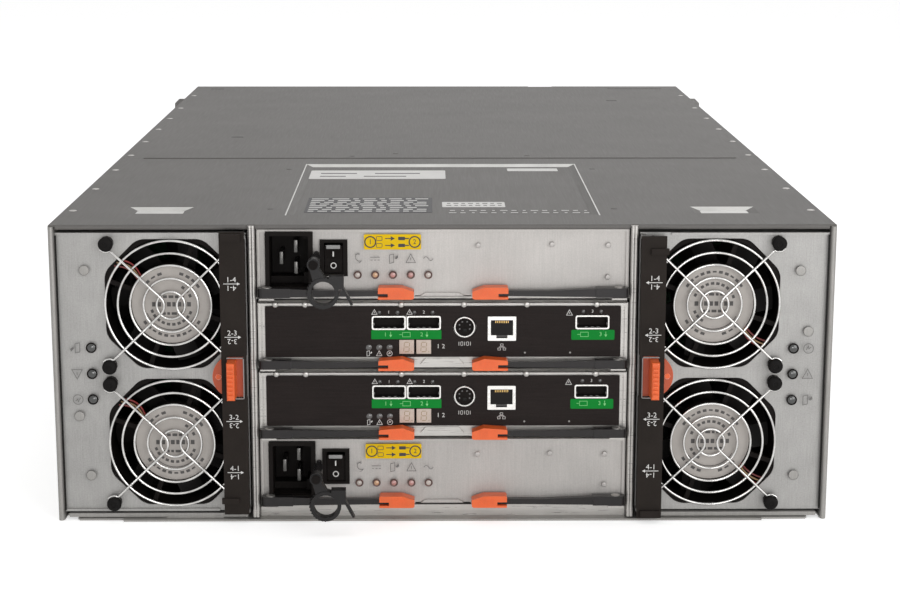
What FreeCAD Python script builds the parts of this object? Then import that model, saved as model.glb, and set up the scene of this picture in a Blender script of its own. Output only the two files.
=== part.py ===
"""Dense disk shelf for a 19-inch rack, rear side with fans, supplies and controllers, and five front drawers.

Frame: +X right as seen from behind, +Y towards the drawers, +Z up, millimetres.
All positions below are measured from the rear edge of the case, and save() moves them so that the
origin lies at the centre of the underside.
"""
import FreeCAD, Part
import math
import os

from FreeCAD import Vector

# ---- driving dimensions ----
CASE_W = 448.0
CASE_L = 760.0
SHEET = 1.2
EAR_REACH = 17.3
EAR_HOLE_IN = 8.75
EAR_BACK = 33.0
EAR_LOW_Z = 4.0
EAR_TOP_GAP = 8.1
RACK_HOLE_H = 101.6
RACK_SLOT_R = 3.55
RACK_SLOT_L = 10.0
REAR_REACH = 34.0
FRONT_REACH = 31.5
HEM_W = 4.1
LIP_OUT = 4.3
LIP_GAP = 38.0
SILL_Z = 4.0
HEM_R = 1.2
DIVIDER_X = 108.85
DIVIDER_GAP = 4.0
SHELF_GAP = 6.0
BAY_PLAY = 2.65
MODULE_L = 282.0
PANEL_Y = 2.0
PLUG_ROOM = 14.0
MIDPLANE_T = 3.0
MIDPLANE_SIDE = 9.0
MIDPLANE_TOP = 3.4
COVER_SEAM_Y = 273.0
PAN_DEPTH = 1.5
FAN_SIZE = 80.0
FAN_DEPTH = 38.0
FAN_GAP = 1.8
FAN_SIDE_GAP = 3.2
FAN_HOLE_IN = 4.25
FAN_WALL = 1.6
WINDOW_IN = 2.2
WINDOW_CORNER = 19.0
HUB_R = 23.2
ROTOR_R = 21.0
BLADES = 7
BLADE_T = 1.6
TIP_GAP = 1.4
WIRE = 1.6
GUARD_Y = 0.35
GUARD_RINGS = ((1.0, 28), (8.2, 24), (15.2, 22), (22.8, 16), (30.4, 12))
BEND_R = 7.0
BEND_OFF = 3.6
HANDLE_PIVOT = 1.8
HANDLE_PIVOT_Y = -3.3
STRIP_W = 14.4
FAN_IN_GAP = 3.35
FAN_OUT_GAP = 3.4
FAN_BOT_Z = 5.0
PSU_H = 39.6
SBB_H = 38.0
BAY_LOW_Z = 8.6
STACK_GAPS = (1.6, 2.9, 3.3, 3.0)
SHELF_DROPS = (2.8, 2.4, 1.3, 2.0)
SHELF_SHEETS = (1.2, 1.2, 1.0, 1.2)
RAIL_T = 0.3
LEVER_PIVOT_IN = 6.0
LEVER_PIVOT_Y = -4.0
LEVER_REACH = 22.5
DRAWERS = 5
DRAWER_BACK = 5.0
DRAWER_SIDE = 10.0
DRAWER_PLAY = 0.5
DRAWER_GAP = 0.8
DRIVE_COLUMNS = 4
DRIVE_GAP_X = 2.6
DRIVE_GAP_Y = 4.0
DRIVE_BACK = 6.4
DRIVE_W = 101.6
DRIVE_L = 147.0
DRIVE_H = 26.1

FRONT_Y = CASE_L + FRONT_REACH
SHIFT_Y = (REAR_REACH - FRONT_Y) / 2.0
HALF_W = CASE_W / 2.0
SBB_LOW_Z = BAY_LOW_Z + PSU_H + STACK_GAPS[0]
SBB_HIGH_Z = SBB_LOW_Z + SBB_H + STACK_GAPS[1]
PSU_HIGH_Z = SBB_HIGH_Z + SBB_H + STACK_GAPS[2]
PSU_Z = {"a": PSU_HIGH_Z, "b": BAY_LOW_Z}
SBB_Z = {"a": SBB_HIGH_Z, "b": SBB_LOW_Z}
CASE_H = PSU_HIGH_Z + PSU_H + STACK_GAPS[3]
COVER_Z = CASE_H - SHEET
FLANGE_Z = COVER_Z - SHEET
RACK_W = CASE_W + 2 * EAR_REACH
EAR_Y = CASE_L - EAR_BACK
LIP_HALF_W = HALF_W - LIP_GAP
MIDPLANE_Y = MODULE_L + PLUG_ROOM
DIVIDER_L = MIDPLANE_Y - DIVIDER_GAP
MODULE_HALF_W = DIVIDER_X - BAY_PLAY
LEVER_PIVOT_X = MODULE_HALF_W - LEVER_PIVOT_IN
FAN_IN_X = DIVIDER_X + FAN_IN_GAP
FAN_OUT_X = HALF_W - FAN_OUT_GAP
FAN_X = FAN_IN_X + FAN_SIDE_GAP + FAN_SIZE / 2
FAN_Z = CASE_H / 2
FAN_TOP_Z = CASE_H - FAN_BOT_Z
FAN_PITCH = FAN_SIZE + FAN_GAP
FAN_HOLES = FAN_SIZE - 2 * FAN_HOLE_IN
FAN_BORE_R = FAN_SIZE / 2 - FAN_WALL
BLADE_TIP_R = FAN_BORE_R - TIP_GAP
STRIP_OUT_X = FAN_IN_X + STRIP_W
DRAWER_Y0 = MIDPLANE_Y + MIDPLANE_T + DRAWER_BACK
DRAWER_HALF_W = HALF_W - DRAWER_SIDE
DRAWER_PITCH = (FLANGE_Z - SHEET - 2 * DRAWER_PLAY) / DRAWERS

os.makedirs("parts", exist_ok=True)


# ---- helpers ----
def box(x0, x1, y0, y1, z0, z1):
    lo_x = min(x0, x1)
    return Part.makeBox(abs(x1 - x0), y1 - y0, z1 - z0, Vector(lo_x, y0, z0))


def rod_x(y, z, x0, x1, r):
    return Part.makeCylinder(r, abs(x1 - x0), Vector(min(x0, x1), y, z), Vector(1, 0, 0))


def rod_y(x, z, y0, y1, r):
    return Part.makeCylinder(r, y1 - y0, Vector(x, y0, z), Vector(0, 1, 0))


def rod_z(x, y, z0, z1, r):
    return Part.makeCylinder(r, z1 - z0, Vector(x, y, z0), Vector(0, 0, 1))


def prism(points, direction):
    wire = Part.makePolygon([Vector(*p) for p in points] + [Vector(*points[0])])
    return Part.Face(wire).extrude(Vector(*direction))


def prism_y(points, y0, y1):
    return prism([(x, y0, z) for x, z in points], (0, y1 - y0, 0))


def prism_z(points, z0, z1):
    return prism([(x, y, z0) for x, y in points], (0, 0, z1 - z0))


def prism_x(points, x0, x1):
    return prism([(x0, y, z) for y, z in points], (x1 - x0, 0, 0))


def corners(a, b, r, sides):
    """Corners of a many-sided figure that stands in for a circle where what repeats needs few facets."""
    points = []
    for k in range(sides):
        turn = 2 * math.pi * (k + 0.5) / sides
        points.append((a + r * math.cos(turn), b + r * math.sin(turn)))
    return points


def many_sided_y(x, z, y0, y1, r, sides):
    return prism_y(corners(x, z, r, sides), y0, y1)


def many_sided_z(x, y, z0, z1, r, sides):
    return prism_z(corners(x, y, r, sides), z0, z1)


def fuse(shapes):
    joined = shapes[0]
    if len(shapes) > 1:
        joined = shapes[0].fuse(shapes[1:])
    return joined.removeSplitter()


def cut(shape, tools):
    if not tools:
        return shape
    return shape.cut(Part.makeCompound(tools))


def slot_y(x, z, y0, y1, r, length):
    half = length / 2.0 - r
    body = box(x - half, x + half, y0, y1, z - r, z + r)
    return fuse([body, rod_y(x - half, z, y0, y1, r), rod_y(x + half, z, y0, y1, r)])


def save(node, shapes):
    parts = shapes if isinstance(shapes, list) else [shapes]
    solids = []
    for item in parts:
        solids.extend(item.Solids)
    shape = solids[0] if len(solids) == 1 else Part.makeCompound(solids)
    moved = shape.copy()
    moved.translate(Vector(0, SHIFT_Y, 0))
    moved.exportStep("parts/" + node + ".step")


def mirrored(shape):
    return shape.mirror(Vector(0, 0, 0), Vector(1, 0, 0))


def half_turn(shape):
    turned = shape.copy()
    turned.rotate(Vector(0, 0, FAN_Z), Vector(0, 1, 0), 180)
    return turned


# ---- case ----
def chassis_tray():
    floor = box(-HALF_W, HALF_W, 0, CASE_L, 0, SHEET)
    shapes = [floor]
    for side in (-1, 1):
        wall = box(side * (HALF_W - SHEET), side * HALF_W, 0, CASE_L, 0, FLANGE_Z + SHEET)
        flange = box(side * (HALF_W - 16), side * HALF_W, 10.5, CASE_L, FLANGE_Z, COVER_Z)
        hem_in = side * (HALF_W - HEM_W + 0.9)
        hem = box(hem_in, side * HALF_W, -0.6, 12, 0, COVER_Z)
        bead = rod_z(side * (HALF_W - 1.6), -0.4, 0, COVER_Z, 1.6)
        shapes.extend([wall, flange, hem, bead])
        sill_in = side * (DIVIDER_X + 5.0)
        sill_out = side * (HALF_W - 6.0)
        shapes.append(box(sill_in, sill_out, 1.0, 4.0, SHEET, SILL_Z))
        shapes.append(box(sill_in, sill_out, -0.4, 4.0, SILL_Z - 2.2, SILL_Z))
    shapes.append(box(-LIP_HALF_W, LIP_HALF_W, -LIP_OUT, 0, 0, SHEET))
    shapes.append(box(-LIP_HALF_W - 26.0, LIP_HALF_W + 26.0, -1.8, 0, 0, SHEET))
    shapes.append(prism_y([(-162, SHEET), (-128, SHEET), (-128, SILL_Z), (-154, SILL_Z)], -0.5, 4.0))
    tray = fuse(shapes)
    holes = []
    for side in (-1, 1):
        holes.append(box(side * (LIP_HALF_W + 27.0), side * (HALF_W - 3.6), -3, 8, -1, SILL_Z - 2.4))
        for k in range(5):
            z = 18 + 34 * k
            holes.append(box(side * (HALF_W - 3), side * (HALF_W + 3), CASE_L - 24, CASE_L - 12, z, z + 8))
    return cut(tray, holes)


def cover_blank(y0, y1):
    plate = box(-HALF_W, HALF_W, y0, y1, COVER_Z, CASE_H)
    edges = []
    for edge in plate.Edges:
        mid = edge.CenterOfMass
        if abs(abs(mid.x) - HALF_W) < 0.01 and mid.z > CASE_H - 0.01 and edge.Length > 50:
            edges.append(edge)
    return plate.makeFillet(0.8, edges)


def pan(x0, x1, y0, y1, depth, slope):
    low = box(x0 + slope, x1 - slope, y0 + slope, y1 - slope, CASE_H - depth - SHEET, CASE_H + 2)
    rim = CASE_H
    bottom = [Vector(x0 + slope, y0 + slope, rim - depth), Vector(x1 - slope, y0 + slope, rim - depth),
              Vector(x1 - slope, y1 - slope, rim - depth), Vector(x0 + slope, y1 - slope, rim - depth)]
    top = [Vector(x0, y0, rim), Vector(x1, y0, rim), Vector(x1, y1, rim), Vector(x0, y1, rim)]
    lower = Part.makePolygon(bottom + [bottom[0]])
    upper = Part.makePolygon(top + [top[0]])
    hollow = Part.makeLoft([lower, upper], True)
    outer = hollow.copy()
    outer.translate(Vector(0, 0, -SHEET))
    skirt = low.common(box(x0, x1, y0, y1, rim - depth - SHEET, rim - depth))
    return hollow, fuse([outer, skirt])


def top_cover_rear():
    plate = cover_blank(0, COVER_SEAM_Y)
    shapes = [plate]
    hollows = []
    label = pan(-92, 92, 34, 246, PAN_DEPTH, 5.0)
    shapes.append(label[1])
    hollows.append(label[0])
    for side in (-1, 1):
        dimple = pan(side * 167 - 19, side * 167 + 19, 38, 64, PAN_DEPTH, 5.0)
        shapes.append(dimple[1])
        hollows.append(dimple[0])
    hem_x = DIVIDER_X - HEM_W / 2 - 0.2
    out_x = DIVIDER_X + HEM_W / 2 + 0.2
    for x0, x1 in ((-hem_x, hem_x), (out_x, HALF_W - 4.0), (-HALF_W + 4.0, -out_x)):
        shapes.append(rod_x(0.9, CASE_H - 1.5, x0, x1, 1.5))
        shapes.append(box(x0, x1, 0.9, 10, CASE_H - 3.0, CASE_H - 1.0))
    shapes.append(box(17 - HALF_W, HALF_W - 17, COVER_SEAM_Y - 1.6, COVER_SEAM_Y, CASE_H - 1.0, CASE_H + 0.5))
    return cut(fuse(shapes), hollows)


def top_cover_front():
    plate = cover_blank(COVER_SEAM_Y + 0.3, CASE_L)
    shapes = [plate]
    shapes.append(box(24 - HALF_W, HALF_W - 24, CASE_L - SHEET, CASE_L, COVER_Z - 2.0, COVER_Z + 0.4))
    holes = [box(85, 107, CASE_L - 3.0, CASE_L + 1, COVER_Z - 3, CASE_H + 1)]
    slots = ((-152.6, 389, 9), (152.3, CASE_L - 122, 9), (182, CASE_L - 22, 50), (-203, CASE_L - 23, 12))
    for x, y, w in slots:
        holes.append(box(x - w / 2, x + w / 2, y - 1.5, y + 1.5, COVER_Z - 3, CASE_H + 1))
    return cut(fuse(shapes), holes)


def bay_dividers():
    both = []
    for side in (-1, 1):
        centre = side * DIVIDER_X
        sheet = box(centre - 0.6, centre + 0.6, 6, DIVIDER_L, SHEET, COVER_Z)
        fold = box(centre - HEM_W / 2, centre + HEM_W / 2, -1.4, 7, 1.9, COVER_Z - 2.0)
        nose = box(centre - HEM_W / 2, centre + HEM_W / 2, -1.4, -0.2, 1.9, CASE_H - 0.4)
        bead = rod_z(centre - HEM_W / 2 + HEM_R, -1.4, 1.9, CASE_H - 0.4, HEM_R)
        bead_b = rod_z(centre + HEM_W / 2 - HEM_R, -1.4, 1.9, CASE_H - 0.4, HEM_R)
        both.append(fuse([sheet, fold, nose, bead, bead_b]))
    return both


def module_shelves():
    inner = DIVIDER_X - 0.6
    shelves = []
    bases = (PSU_Z["a"], SBB_Z["a"], SBB_Z["b"], PSU_Z["b"])
    for base, drop, sheet in zip(bases, SHELF_DROPS, SHELF_SHEETS):
        z0 = base - drop
        shape = [box(-inner, inner, 12, MIDPLANE_Y - SHELF_GAP, z0, z0 + sheet)]
        if base == PSU_Z["b"]:
            shape.append(box(-MODULE_HALF_W + 0.6, MODULE_HALF_W - 0.6, 3.0, 12, z0, z0 + sheet))
            shape.append(box(-inner + 1.8, inner - 1.8, 3.0, 4.2, SHEET, z0))
        if base in (SBB_Z["a"], PSU_Z["a"]):
            for side in (-1, 1):
                shape.append(box(side * (inner - 6), side * inner, 40, MODULE_L - 2, z0 - RAIL_T, z0))
        shelves.append(fuse(shape))
    return shelves


def midplane_board():
    y0 = MIDPLANE_Y
    y1 = MIDPLANE_Y + MIDPLANE_T
    half = HALF_W - MIDPLANE_SIDE
    board = box(-half, half, y0, y1, SHEET, COVER_Z - MIDPLANE_TOP)
    holes = []
    for side in (-1, 1):
        for row in range(5):
            z = 12 + 33.5 * row
            for x in (126, 171):
                holes.append(box(side * x, side * (x + 37), y0 - 1, y1 + 1, z, z + 16))
            holes.append(box(side * 12, side * 30, y0 - 1, y1 + 1, z + 2, z + 12))
    board = cut(board, holes)
    plugs = []
    for name in ("a", "b"):
        z = PSU_Z[name]
        plugs.append(box(-88, -50, MODULE_L + 4.3, y0, z + 10, z + 22))
        z = SBB_Z[name]
        for x in (-84, 44):
            plugs.append(box(x, x + 40, MODULE_L + 4.3, y0, z + 8, z + 20))
    for side in (-1, 1):
        plugs.append(box(side * (FAN_OUT_X - 30.6), side * (FAN_OUT_X - 14.6), MODULE_L + 4.3, y0,
                         FAN_Z - 11.3, FAN_Z + 10.7))
    return fuse([board] + plugs)


def rack_ears():
    ears = []
    top_z = CASE_H - EAR_TOP_GAP
    middle_z = (EAR_LOW_Z + top_z) / 2
    for side in (-1, 1):
        plate = box(side * HALF_W, side * RACK_W / 2, EAR_Y, EAR_Y + 2.5, EAR_LOW_Z, top_z)
        leg = box(side * HALF_W, side * (HALF_W + 2.0), EAR_Y - 40, EAR_Y + 2.5, EAR_LOW_Z, top_z)
        ear = fuse([plate, leg])
        trims = []
        for z, inward in ((EAR_LOW_Z, 1), (top_z, -1)):
            edge = side * RACK_W / 2
            corner = [(edge - side * 4, z), (edge, z + inward * 4), (edge + side * 2, z + inward * 4),
                      (edge + side * 2, z - inward), (edge - side * 4, z - inward)]
            trims.append(prism_y(corner, EAR_Y - 1, EAR_Y + 4))
        for z in (-RACK_HOLE_H / 2, RACK_HOLE_H / 2):
            trims.append(slot_y(side * (RACK_W / 2 - EAR_HOLE_IN), middle_z + z, EAR_Y - 1, EAR_Y + 4,
                                RACK_SLOT_R, RACK_SLOT_L))
        ears.append(cut(ear, trims))
    return ears


def drawer_z(index):
    return SHEET + 0.5 + DRAWER_PITCH * index


def drawer_runners():
    rails = []
    for index in range(DRAWERS):
        z = drawer_z(index) + 14.0
        for side in (-1, 1):
            rail = box(side * (DRAWER_HALF_W + 1.6), side * (HALF_W - SHEET), DRAWER_Y0 + 8, CASE_L - 8,
                       z - 6, z + 6)
            groove = box(side * (DRAWER_HALF_W + 1), side * (DRAWER_HALF_W + 5.6), DRAWER_Y0 + 7, CASE_L - 7,
                         z - 2.6, z + 2.6)
            rails.append(rail.cut(groove))
    return rails


# ---- fan modules, drawn for the right bay ----
def fan_centres():
    return ((FAN_X, FAN_Z - FAN_PITCH / 2), (FAN_X, FAN_Z + FAN_PITCH / 2))


def fan_window(x, z):
    half = FAN_SIZE / 2 - WINDOW_IN
    near = half - WINDOW_CORNER
    points = [(x - near, z - half), (x + near, z - half), (x + half, z - near), (x + half, z + near),
              (x + near, z + half), (x - near, z + half), (x - half, z + near), (x - half, z - near)]
    block = prism_y(points, PANEL_Y - 1, PANEL_Y + 3)
    edges = []
    for edge in block.Edges:
        if abs(edge.Length - 4.0) < 0.01:
            edges.append(edge)
    return block.makeFillet(11.0, edges)


def fan_case():
    outer = box(FAN_IN_X, FAN_OUT_X, PANEL_Y, MODULE_L, FAN_BOT_Z, FAN_TOP_Z)
    inner = box(FAN_IN_X + 1, FAN_OUT_X - 1, PANEL_Y + 1.2, MODULE_L + 1, FAN_BOT_Z + 1, FAN_TOP_Z - 1)
    shell = outer.cut(inner)
    shapes = [shell]
    plug_x = FAN_OUT_X - 32.6
    plug_z = FAN_Z - 9.3
    shapes.append(box(plug_x, plug_x + 20, MODULE_L - 12, MODULE_L + 4, plug_z, plug_z + 18))
    shapes.append(box(plug_x + 17, FAN_OUT_X - 1, MODULE_L - 12, MODULE_L - 2, plug_z, plug_z + 18))
    for z0, z1 in ((FAN_BOT_Z + 0.6, FAN_BOT_Z + 2.4), (FAN_TOP_Z - 2.4, FAN_TOP_Z - 0.6)):
        shapes.append(box(FAN_IN_X, FAN_IN_X + 3.3, -4.9, PANEL_Y, z0, z1))
    shapes.append(box(FAN_IN_X + 18, FAN_OUT_X - 0.6, 0.6, PANEL_Y, FAN_TOP_Z - 1.4, FAN_TOP_Z))
    tools = []
    for x, z in fan_centres():
        tools.append(fan_window(x, z))
    tools.append(rod_z(FAN_IN_X + HANDLE_PIVOT, HANDLE_PIVOT_Y, FAN_BOT_Z - 1, FAN_TOP_Z + 1, 1.16))
    return cut(fuse(shapes), tools)


def fan_frames():
    frames = []
    y0 = PANEL_Y + 1.2
    y1 = y0 + FAN_DEPTH
    for x, z in fan_centres():
        half = FAN_SIZE / 2
        frame = box(x - half, x + half, y0, y1, z - half, z + half)
        bore = many_sided_y(x, z, y0 - 1, y1 + 1, FAN_BORE_R, 32)
        parts = [frame.cut(bore), many_sided_y(x, z, y0 + 1.0, y0 + 5.0, HUB_R, 24)]
        for angle in (20, 110, 200, 290):
            strut = box(HUB_R - 1, FAN_BORE_R + 1, y0 + 1.2, y0 + 4.6, -1.3, 1.3)
            strut.rotate(Vector(0, 0, 0), Vector(0, 1, 0), angle)
            strut.translate(Vector(x, 0, z))
            parts.append(strut)
        for sx in (-1, 1):
            for sz in (-1, 1):
                px = x + sx * FAN_HOLES / 2
                pz = z + sz * FAN_HOLES / 2
                frames.append(many_sided_y(px, pz, -1.6, PANEL_Y, 3.9, 10))
        body = fuse(parts)
        bearing = rod_y(x, z, y0 + 2.0, y0 + 6.0, 2.06)
        frames.append(body.cut(bearing))
    return frames


def spoke_line(x, z, side):
    centre = x + side * (BEND_OFF + BEND_R)
    arm = FAN_HOLES / 2 - 2.9
    line = [(x + side * arm, z + arm)]
    for k in (2, 1, 0, -1, -2):
        turn = math.radians(22.5 * k)
        line.append((centre - side * BEND_R * math.cos(turn), z + BEND_R * math.sin(turn)))
    line.append((x + side * arm, z - arm))
    return line


def flat_wire(line, y0, y1):
    """A square wire of constant width along a line in the XZ plane."""
    left = []
    right = []
    for k, (px, pz) in enumerate(line):
        ax, az = line[max(k - 1, 0)]
        bx, bz = line[min(k + 1, len(line) - 1)]
        span = math.hypot(bx - ax, bz - az)
        nx = -(bz - az) / span * WIRE / 2
        nz = (bx - ax) / span * WIRE / 2
        left.append((px + nx, pz + nz))
        right.append((px - nx, pz - nz))
    return prism_y(left + right[::-1], y0, y1)


def fan_guard():
    guards = []
    for x, z in fan_centres():
        for inset, sides in GUARD_RINGS:
            r = FAN_BORE_R - inset
            ring = many_sided_y(x, z, GUARD_Y, GUARD_Y + WIRE, r + WIRE / 2, sides)
            guards.append(ring.cut(many_sided_y(x, z, GUARD_Y - 1, GUARD_Y + 3, r - WIRE / 2, sides)))
        for side in (-1, 1):
            guards.append(flat_wire(spoke_line(x, z, side), GUARD_Y - WIRE, GUARD_Y))
    return guards


def blade_section(r, chord, stagger, camber, lead):
    """Six-cornered aerofoil section at radius r, swept forward by lead."""
    half = BLADE_T / 2
    flat = [(-chord / 2, -half / 2), (0, camber - half), (chord / 2, -half / 2),
            (chord / 2, half / 2), (0, camber + half), (-chord / 2, half / 2)]
    turn = math.radians(stagger)
    points = []
    for along, up in flat:
        y = along * math.cos(turn) - up * math.sin(turn)
        z = along * math.sin(turn) + up * math.cos(turn) + lead
        points.append(Vector(r, y, z))
    return Part.makePolygon(points + [points[0]])


def fan_rotor(x, z):
    y0 = PANEL_Y + 1.2
    hub = many_sided_y(x, z, y0 + 5.6, y0 + FAN_DEPTH - 3.0, ROTOR_R, 21)
    hollow = many_sided_y(x, z, y0 + 5.0, y0 + 24.0, ROTOR_R - 4.4, 14)
    post = rod_y(x, z, y0 + 2.4, y0 + 24.5, 2.0)
    root = blade_section(ROTOR_R - 3.6, 25.0, 40.0, 3.2, 0.0)
    middle = blade_section(ROTOR_R + 6.5, 26.5, 50.0, 2.6, 2.0)
    tip = blade_section(BLADE_TIP_R, 27.5, 58.0, 2.0, 5.0)
    blade = Part.makeLoft([root, middle, tip], True, True)
    blade.translate(Vector(0, y0 + 21.0, 0))
    blade = blade.common(many_sided_y(0, 0, y0, y0 + FAN_DEPTH, FAN_BORE_R - 1.6, 36))
    blades = []
    for k in range(BLADES):
        one = blade.copy()
        one.rotate(Vector(0, 0, 0), Vector(0, 1, 0), 360.0 * k / BLADES)
        one.translate(Vector(x, 0, z))
        blades.append(one)
    return fuse([hub.cut(hollow), post] + blades)


def fan_handle():
    z0 = FAN_BOT_Z + 2.8
    z1 = FAN_TOP_Z - 2.8
    x0 = FAN_IN_X + 0.1
    x1 = STRIP_OUT_X
    px = FAN_IN_X + HANDLE_PIVOT
    face = box(x0, x1, -8.4, -6.8, z0 - 5.0, z1 + 2.2)
    far = box(x1 - 1.4, x1, -8.4, -1.9, z0 - 4.0, z1 + 1.4)
    top = box(x0, x1, -8.4, -3.9, z1 - 3.0, z1)
    bottom = box(x0, x1, -8.4, -3.9, z0, z0 + 3.0)
    barrel = rod_z(px, HANDLE_PIVOT_Y, z0, z1, 1.5)
    link = box(x0, px + 1.5, -7.0, HANDLE_PIVOT_Y, z0, z1)
    pins = rod_z(px, HANDLE_PIVOT_Y, z0 - 2.2, z1 + 2.2, 1.1)
    hook = box(x0 + 5.5, x1 + 1.2, -10.4, -8.3, z1 - 8.0, z1 - 4.6)
    foot = box(x0 + 2.0, x1 - 1.0, -11.0, -8.3, z0 - 4.0, z0)
    ribs = []
    for z in (FAN_Z - 22.0, FAN_Z + 20.6):
        ribs.append(box(x0 + 1.0, x1 - 1.0, -7.0, -3.9, z, z + 1.4))
    body = fuse([face, far, top, bottom, barrel, link, pins, hook, foot] + ribs)
    half = 12.2
    window = box(x0 + 1.3, x1 - 3.0, -12, -6.7, FAN_Z - half, FAN_Z + half)
    relief = box(x0 - 1.0, x0 + 9.0, -6.8, -1.0, FAN_Z - half - 0.2, FAN_Z + half + 0.2)
    gate = box(x1 - 2.2, x1 + 1, -6.8, 0, FAN_Z - half - 0.2, FAN_Z + half + 0.2)
    return cut(body, [window, relief, gate])


def fan_latch():
    y0 = -6.3
    y1 = -4.5
    half = 11.8
    tab_x = FAN_IN_X + 6.0
    disc_x = FAN_IN_X + 7.1
    plate = box(FAN_IN_X + 2.2, tab_x + 4.6, y0, y1, FAN_Z - half, FAN_Z + half)
    outer_half = box(disc_x, disc_x + 20, y0, y1, FAN_Z - half, FAN_Z + half)
    disc = rod_y(disc_x, FAN_Z, y0, y1, 12.7).common(outer_half)
    blade = box(tab_x, tab_x + 4.6, -20.0, y1, FAN_Z - 10.9, FAN_Z + 10.9)
    edges = []
    for edge in blade.Edges:
        if edge.CenterOfMass.y < -19.9:
            edges.append(edge)
    blade = blade.makeFillet(1.0, edges)
    rivet = rod_y(FAN_IN_X + 16.4, FAN_Z, y0 - 0.3, y0 + 0.2, 1.6)
    return fuse([plate, disc, blade, rivet])


# ---- levers, drawn for the right end of a module whose base is at zero ----
def lever(z0, height):
    """The right lever: bar, cam nose, sloping neck and the tongue that carries the latch."""
    y0 = LEVER_PIVOT_Y - 3.0
    y1 = LEVER_PIVOT_Y + 3.0
    z1 = z0 + height
    root = LEVER_PIVOT_X - 12.2
    bar = box(root - 1.0, LEVER_PIVOT_X + 2.7, y0, y1, z0, z1)
    cam = many_sided_z(LEVER_PIVOT_X + 2.7, LEVER_PIVOT_Y, z0, z1, 3.0, 14)
    neck = prism([(root, y0 + 0.6, z0 + 0.3), (root, y0 + 0.6, z1 - 0.3), (root - 28.0, y0 + 0.6, z0 + 4.0),
                  (40.0, y0 + 0.6, z0 + 4.0), (40.0, y0 + 0.6, z0 + 0.9)], (0, 3.6, 0))
    tongue = box(LEVER_REACH, 41.0, y0 + 0.8, y0 + 4.2, z0 + 0.9, z0 + 4.0)
    body = fuse([bar, cam, neck, tongue])
    hole = rod_z(LEVER_PIVOT_X, LEVER_PIVOT_Y, z0 - 1, z1 + 1, 1.56)
    return body.cut(hole)


def lever_latch(z0, lift):
    """The orange latch that slides on the lever's tongue."""
    y0 = LEVER_PIVOT_Y - 5.2
    y1 = LEVER_PIVOT_Y + 2.9
    zb = z0 - 0.5
    zt = z0 + 6.4
    outer_pts = [(16.6, zb + 0.7), (16.6, zt - 2.4), (23.4, zt), (36.4, zt - lift), (37.0, zt - lift - 0.8),
                 (37.0, zb), (17.6, zb)]
    body = prism_y(outer_pts, y0, y1)
    cavity = box(19.0, 38.0, LEVER_PIVOT_Y - 2.55, LEVER_PIVOT_Y + 1.55, z0 + 0.55, z0 + 4.35)
    window = box(31.4, 38.0, y0 - 1, LEVER_PIVOT_Y, zb + 1.3, zb + 3.3)
    return cut(body, [cavity, window])


def lever_ears(z0, z1, pin_top):
    ears = []
    for side in (-1, 1):
        inner_x = side * (LEVER_PIVOT_X - 4.2)
        outer_x = side * (LEVER_PIVOT_X + 4.4)
        plate = box(inner_x, outer_x, LEVER_PIVOT_Y - 2.6, PANEL_Y, z0, z1)
        ears.append(fuse([plate, rod_z(side * LEVER_PIVOT_X, LEVER_PIVOT_Y, z0, pin_top, 1.5)]))
    return ears


# ---- power supplies ----
INLET_X = (5.0 - MODULE_HALF_W, 32.1 - MODULE_HALF_W)
ROCKER_X = INLET_X[1] + 11.8
ROCKER_Z = 23.2
CLIP_X = INLET_X[1] + 2.0
CLIP_Z = 25.5


def psu_case(z):
    x = MODULE_HALF_W
    outer = box(-x, x, PANEL_Y, MODULE_L, z, z + PSU_H)
    inner = box(-x + 1, x - 1, PANEL_Y + 1.2, MODULE_L + 1, z + 1, z + PSU_H - 1)
    shell = outer.cut(inner)
    shapes = [shell]
    for side in (-1, 1):
        shapes.append(box(side * (x - 0.7), side * (x - 1.9), 0.6, PANEL_Y, z + 5.2, z + PSU_H - 0.6))
    shapes.append(box(-x + 0.7, x - 0.7, 0.6, PANEL_Y, z + PSU_H - 1.4, z + PSU_H))
    shapes.append(prism_y([(-13, z + 1.1), (12, z + 1.1), (9, z + 3.0), (-10, z + 3.0)], 0.4, PANEL_Y))
    shapes.append(box(-90, -48, MODULE_L - 12, MODULE_L + 4, z + 9, z + 23))
    shapes.append(box(-x + 0.5, x - 0.5, MODULE_L - 8, MODULE_L - 6.8, z + 0.5, z + 14))
    tools = []
    tools.append(box(INLET_X[0], INLET_X[1], 0, 4, z + 4.6, z + 38.6))
    tools.append(box(ROCKER_X - 7.3, ROCKER_X + 7.3, 0, 4, z + ROCKER_Z - 9.95, z + ROCKER_Z + 9.95))
    tools.append(rod_y(CLIP_X, z + CLIP_Z, 0, 4, 1.5))
    tools.append(box(-16.2, 16.2, 0, 8, z - 1, z + 1.1))
    for k in range(8):
        x0 = -60 + 18 * k
        tools.append(box(x0, x0 + 6, 60, 200, z + PSU_H - 2, z + PSU_H + 1))
    return [cut(fuse(shapes), tools)] + lever_ears(z, z + 1.0, z + 6.6)


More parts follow.
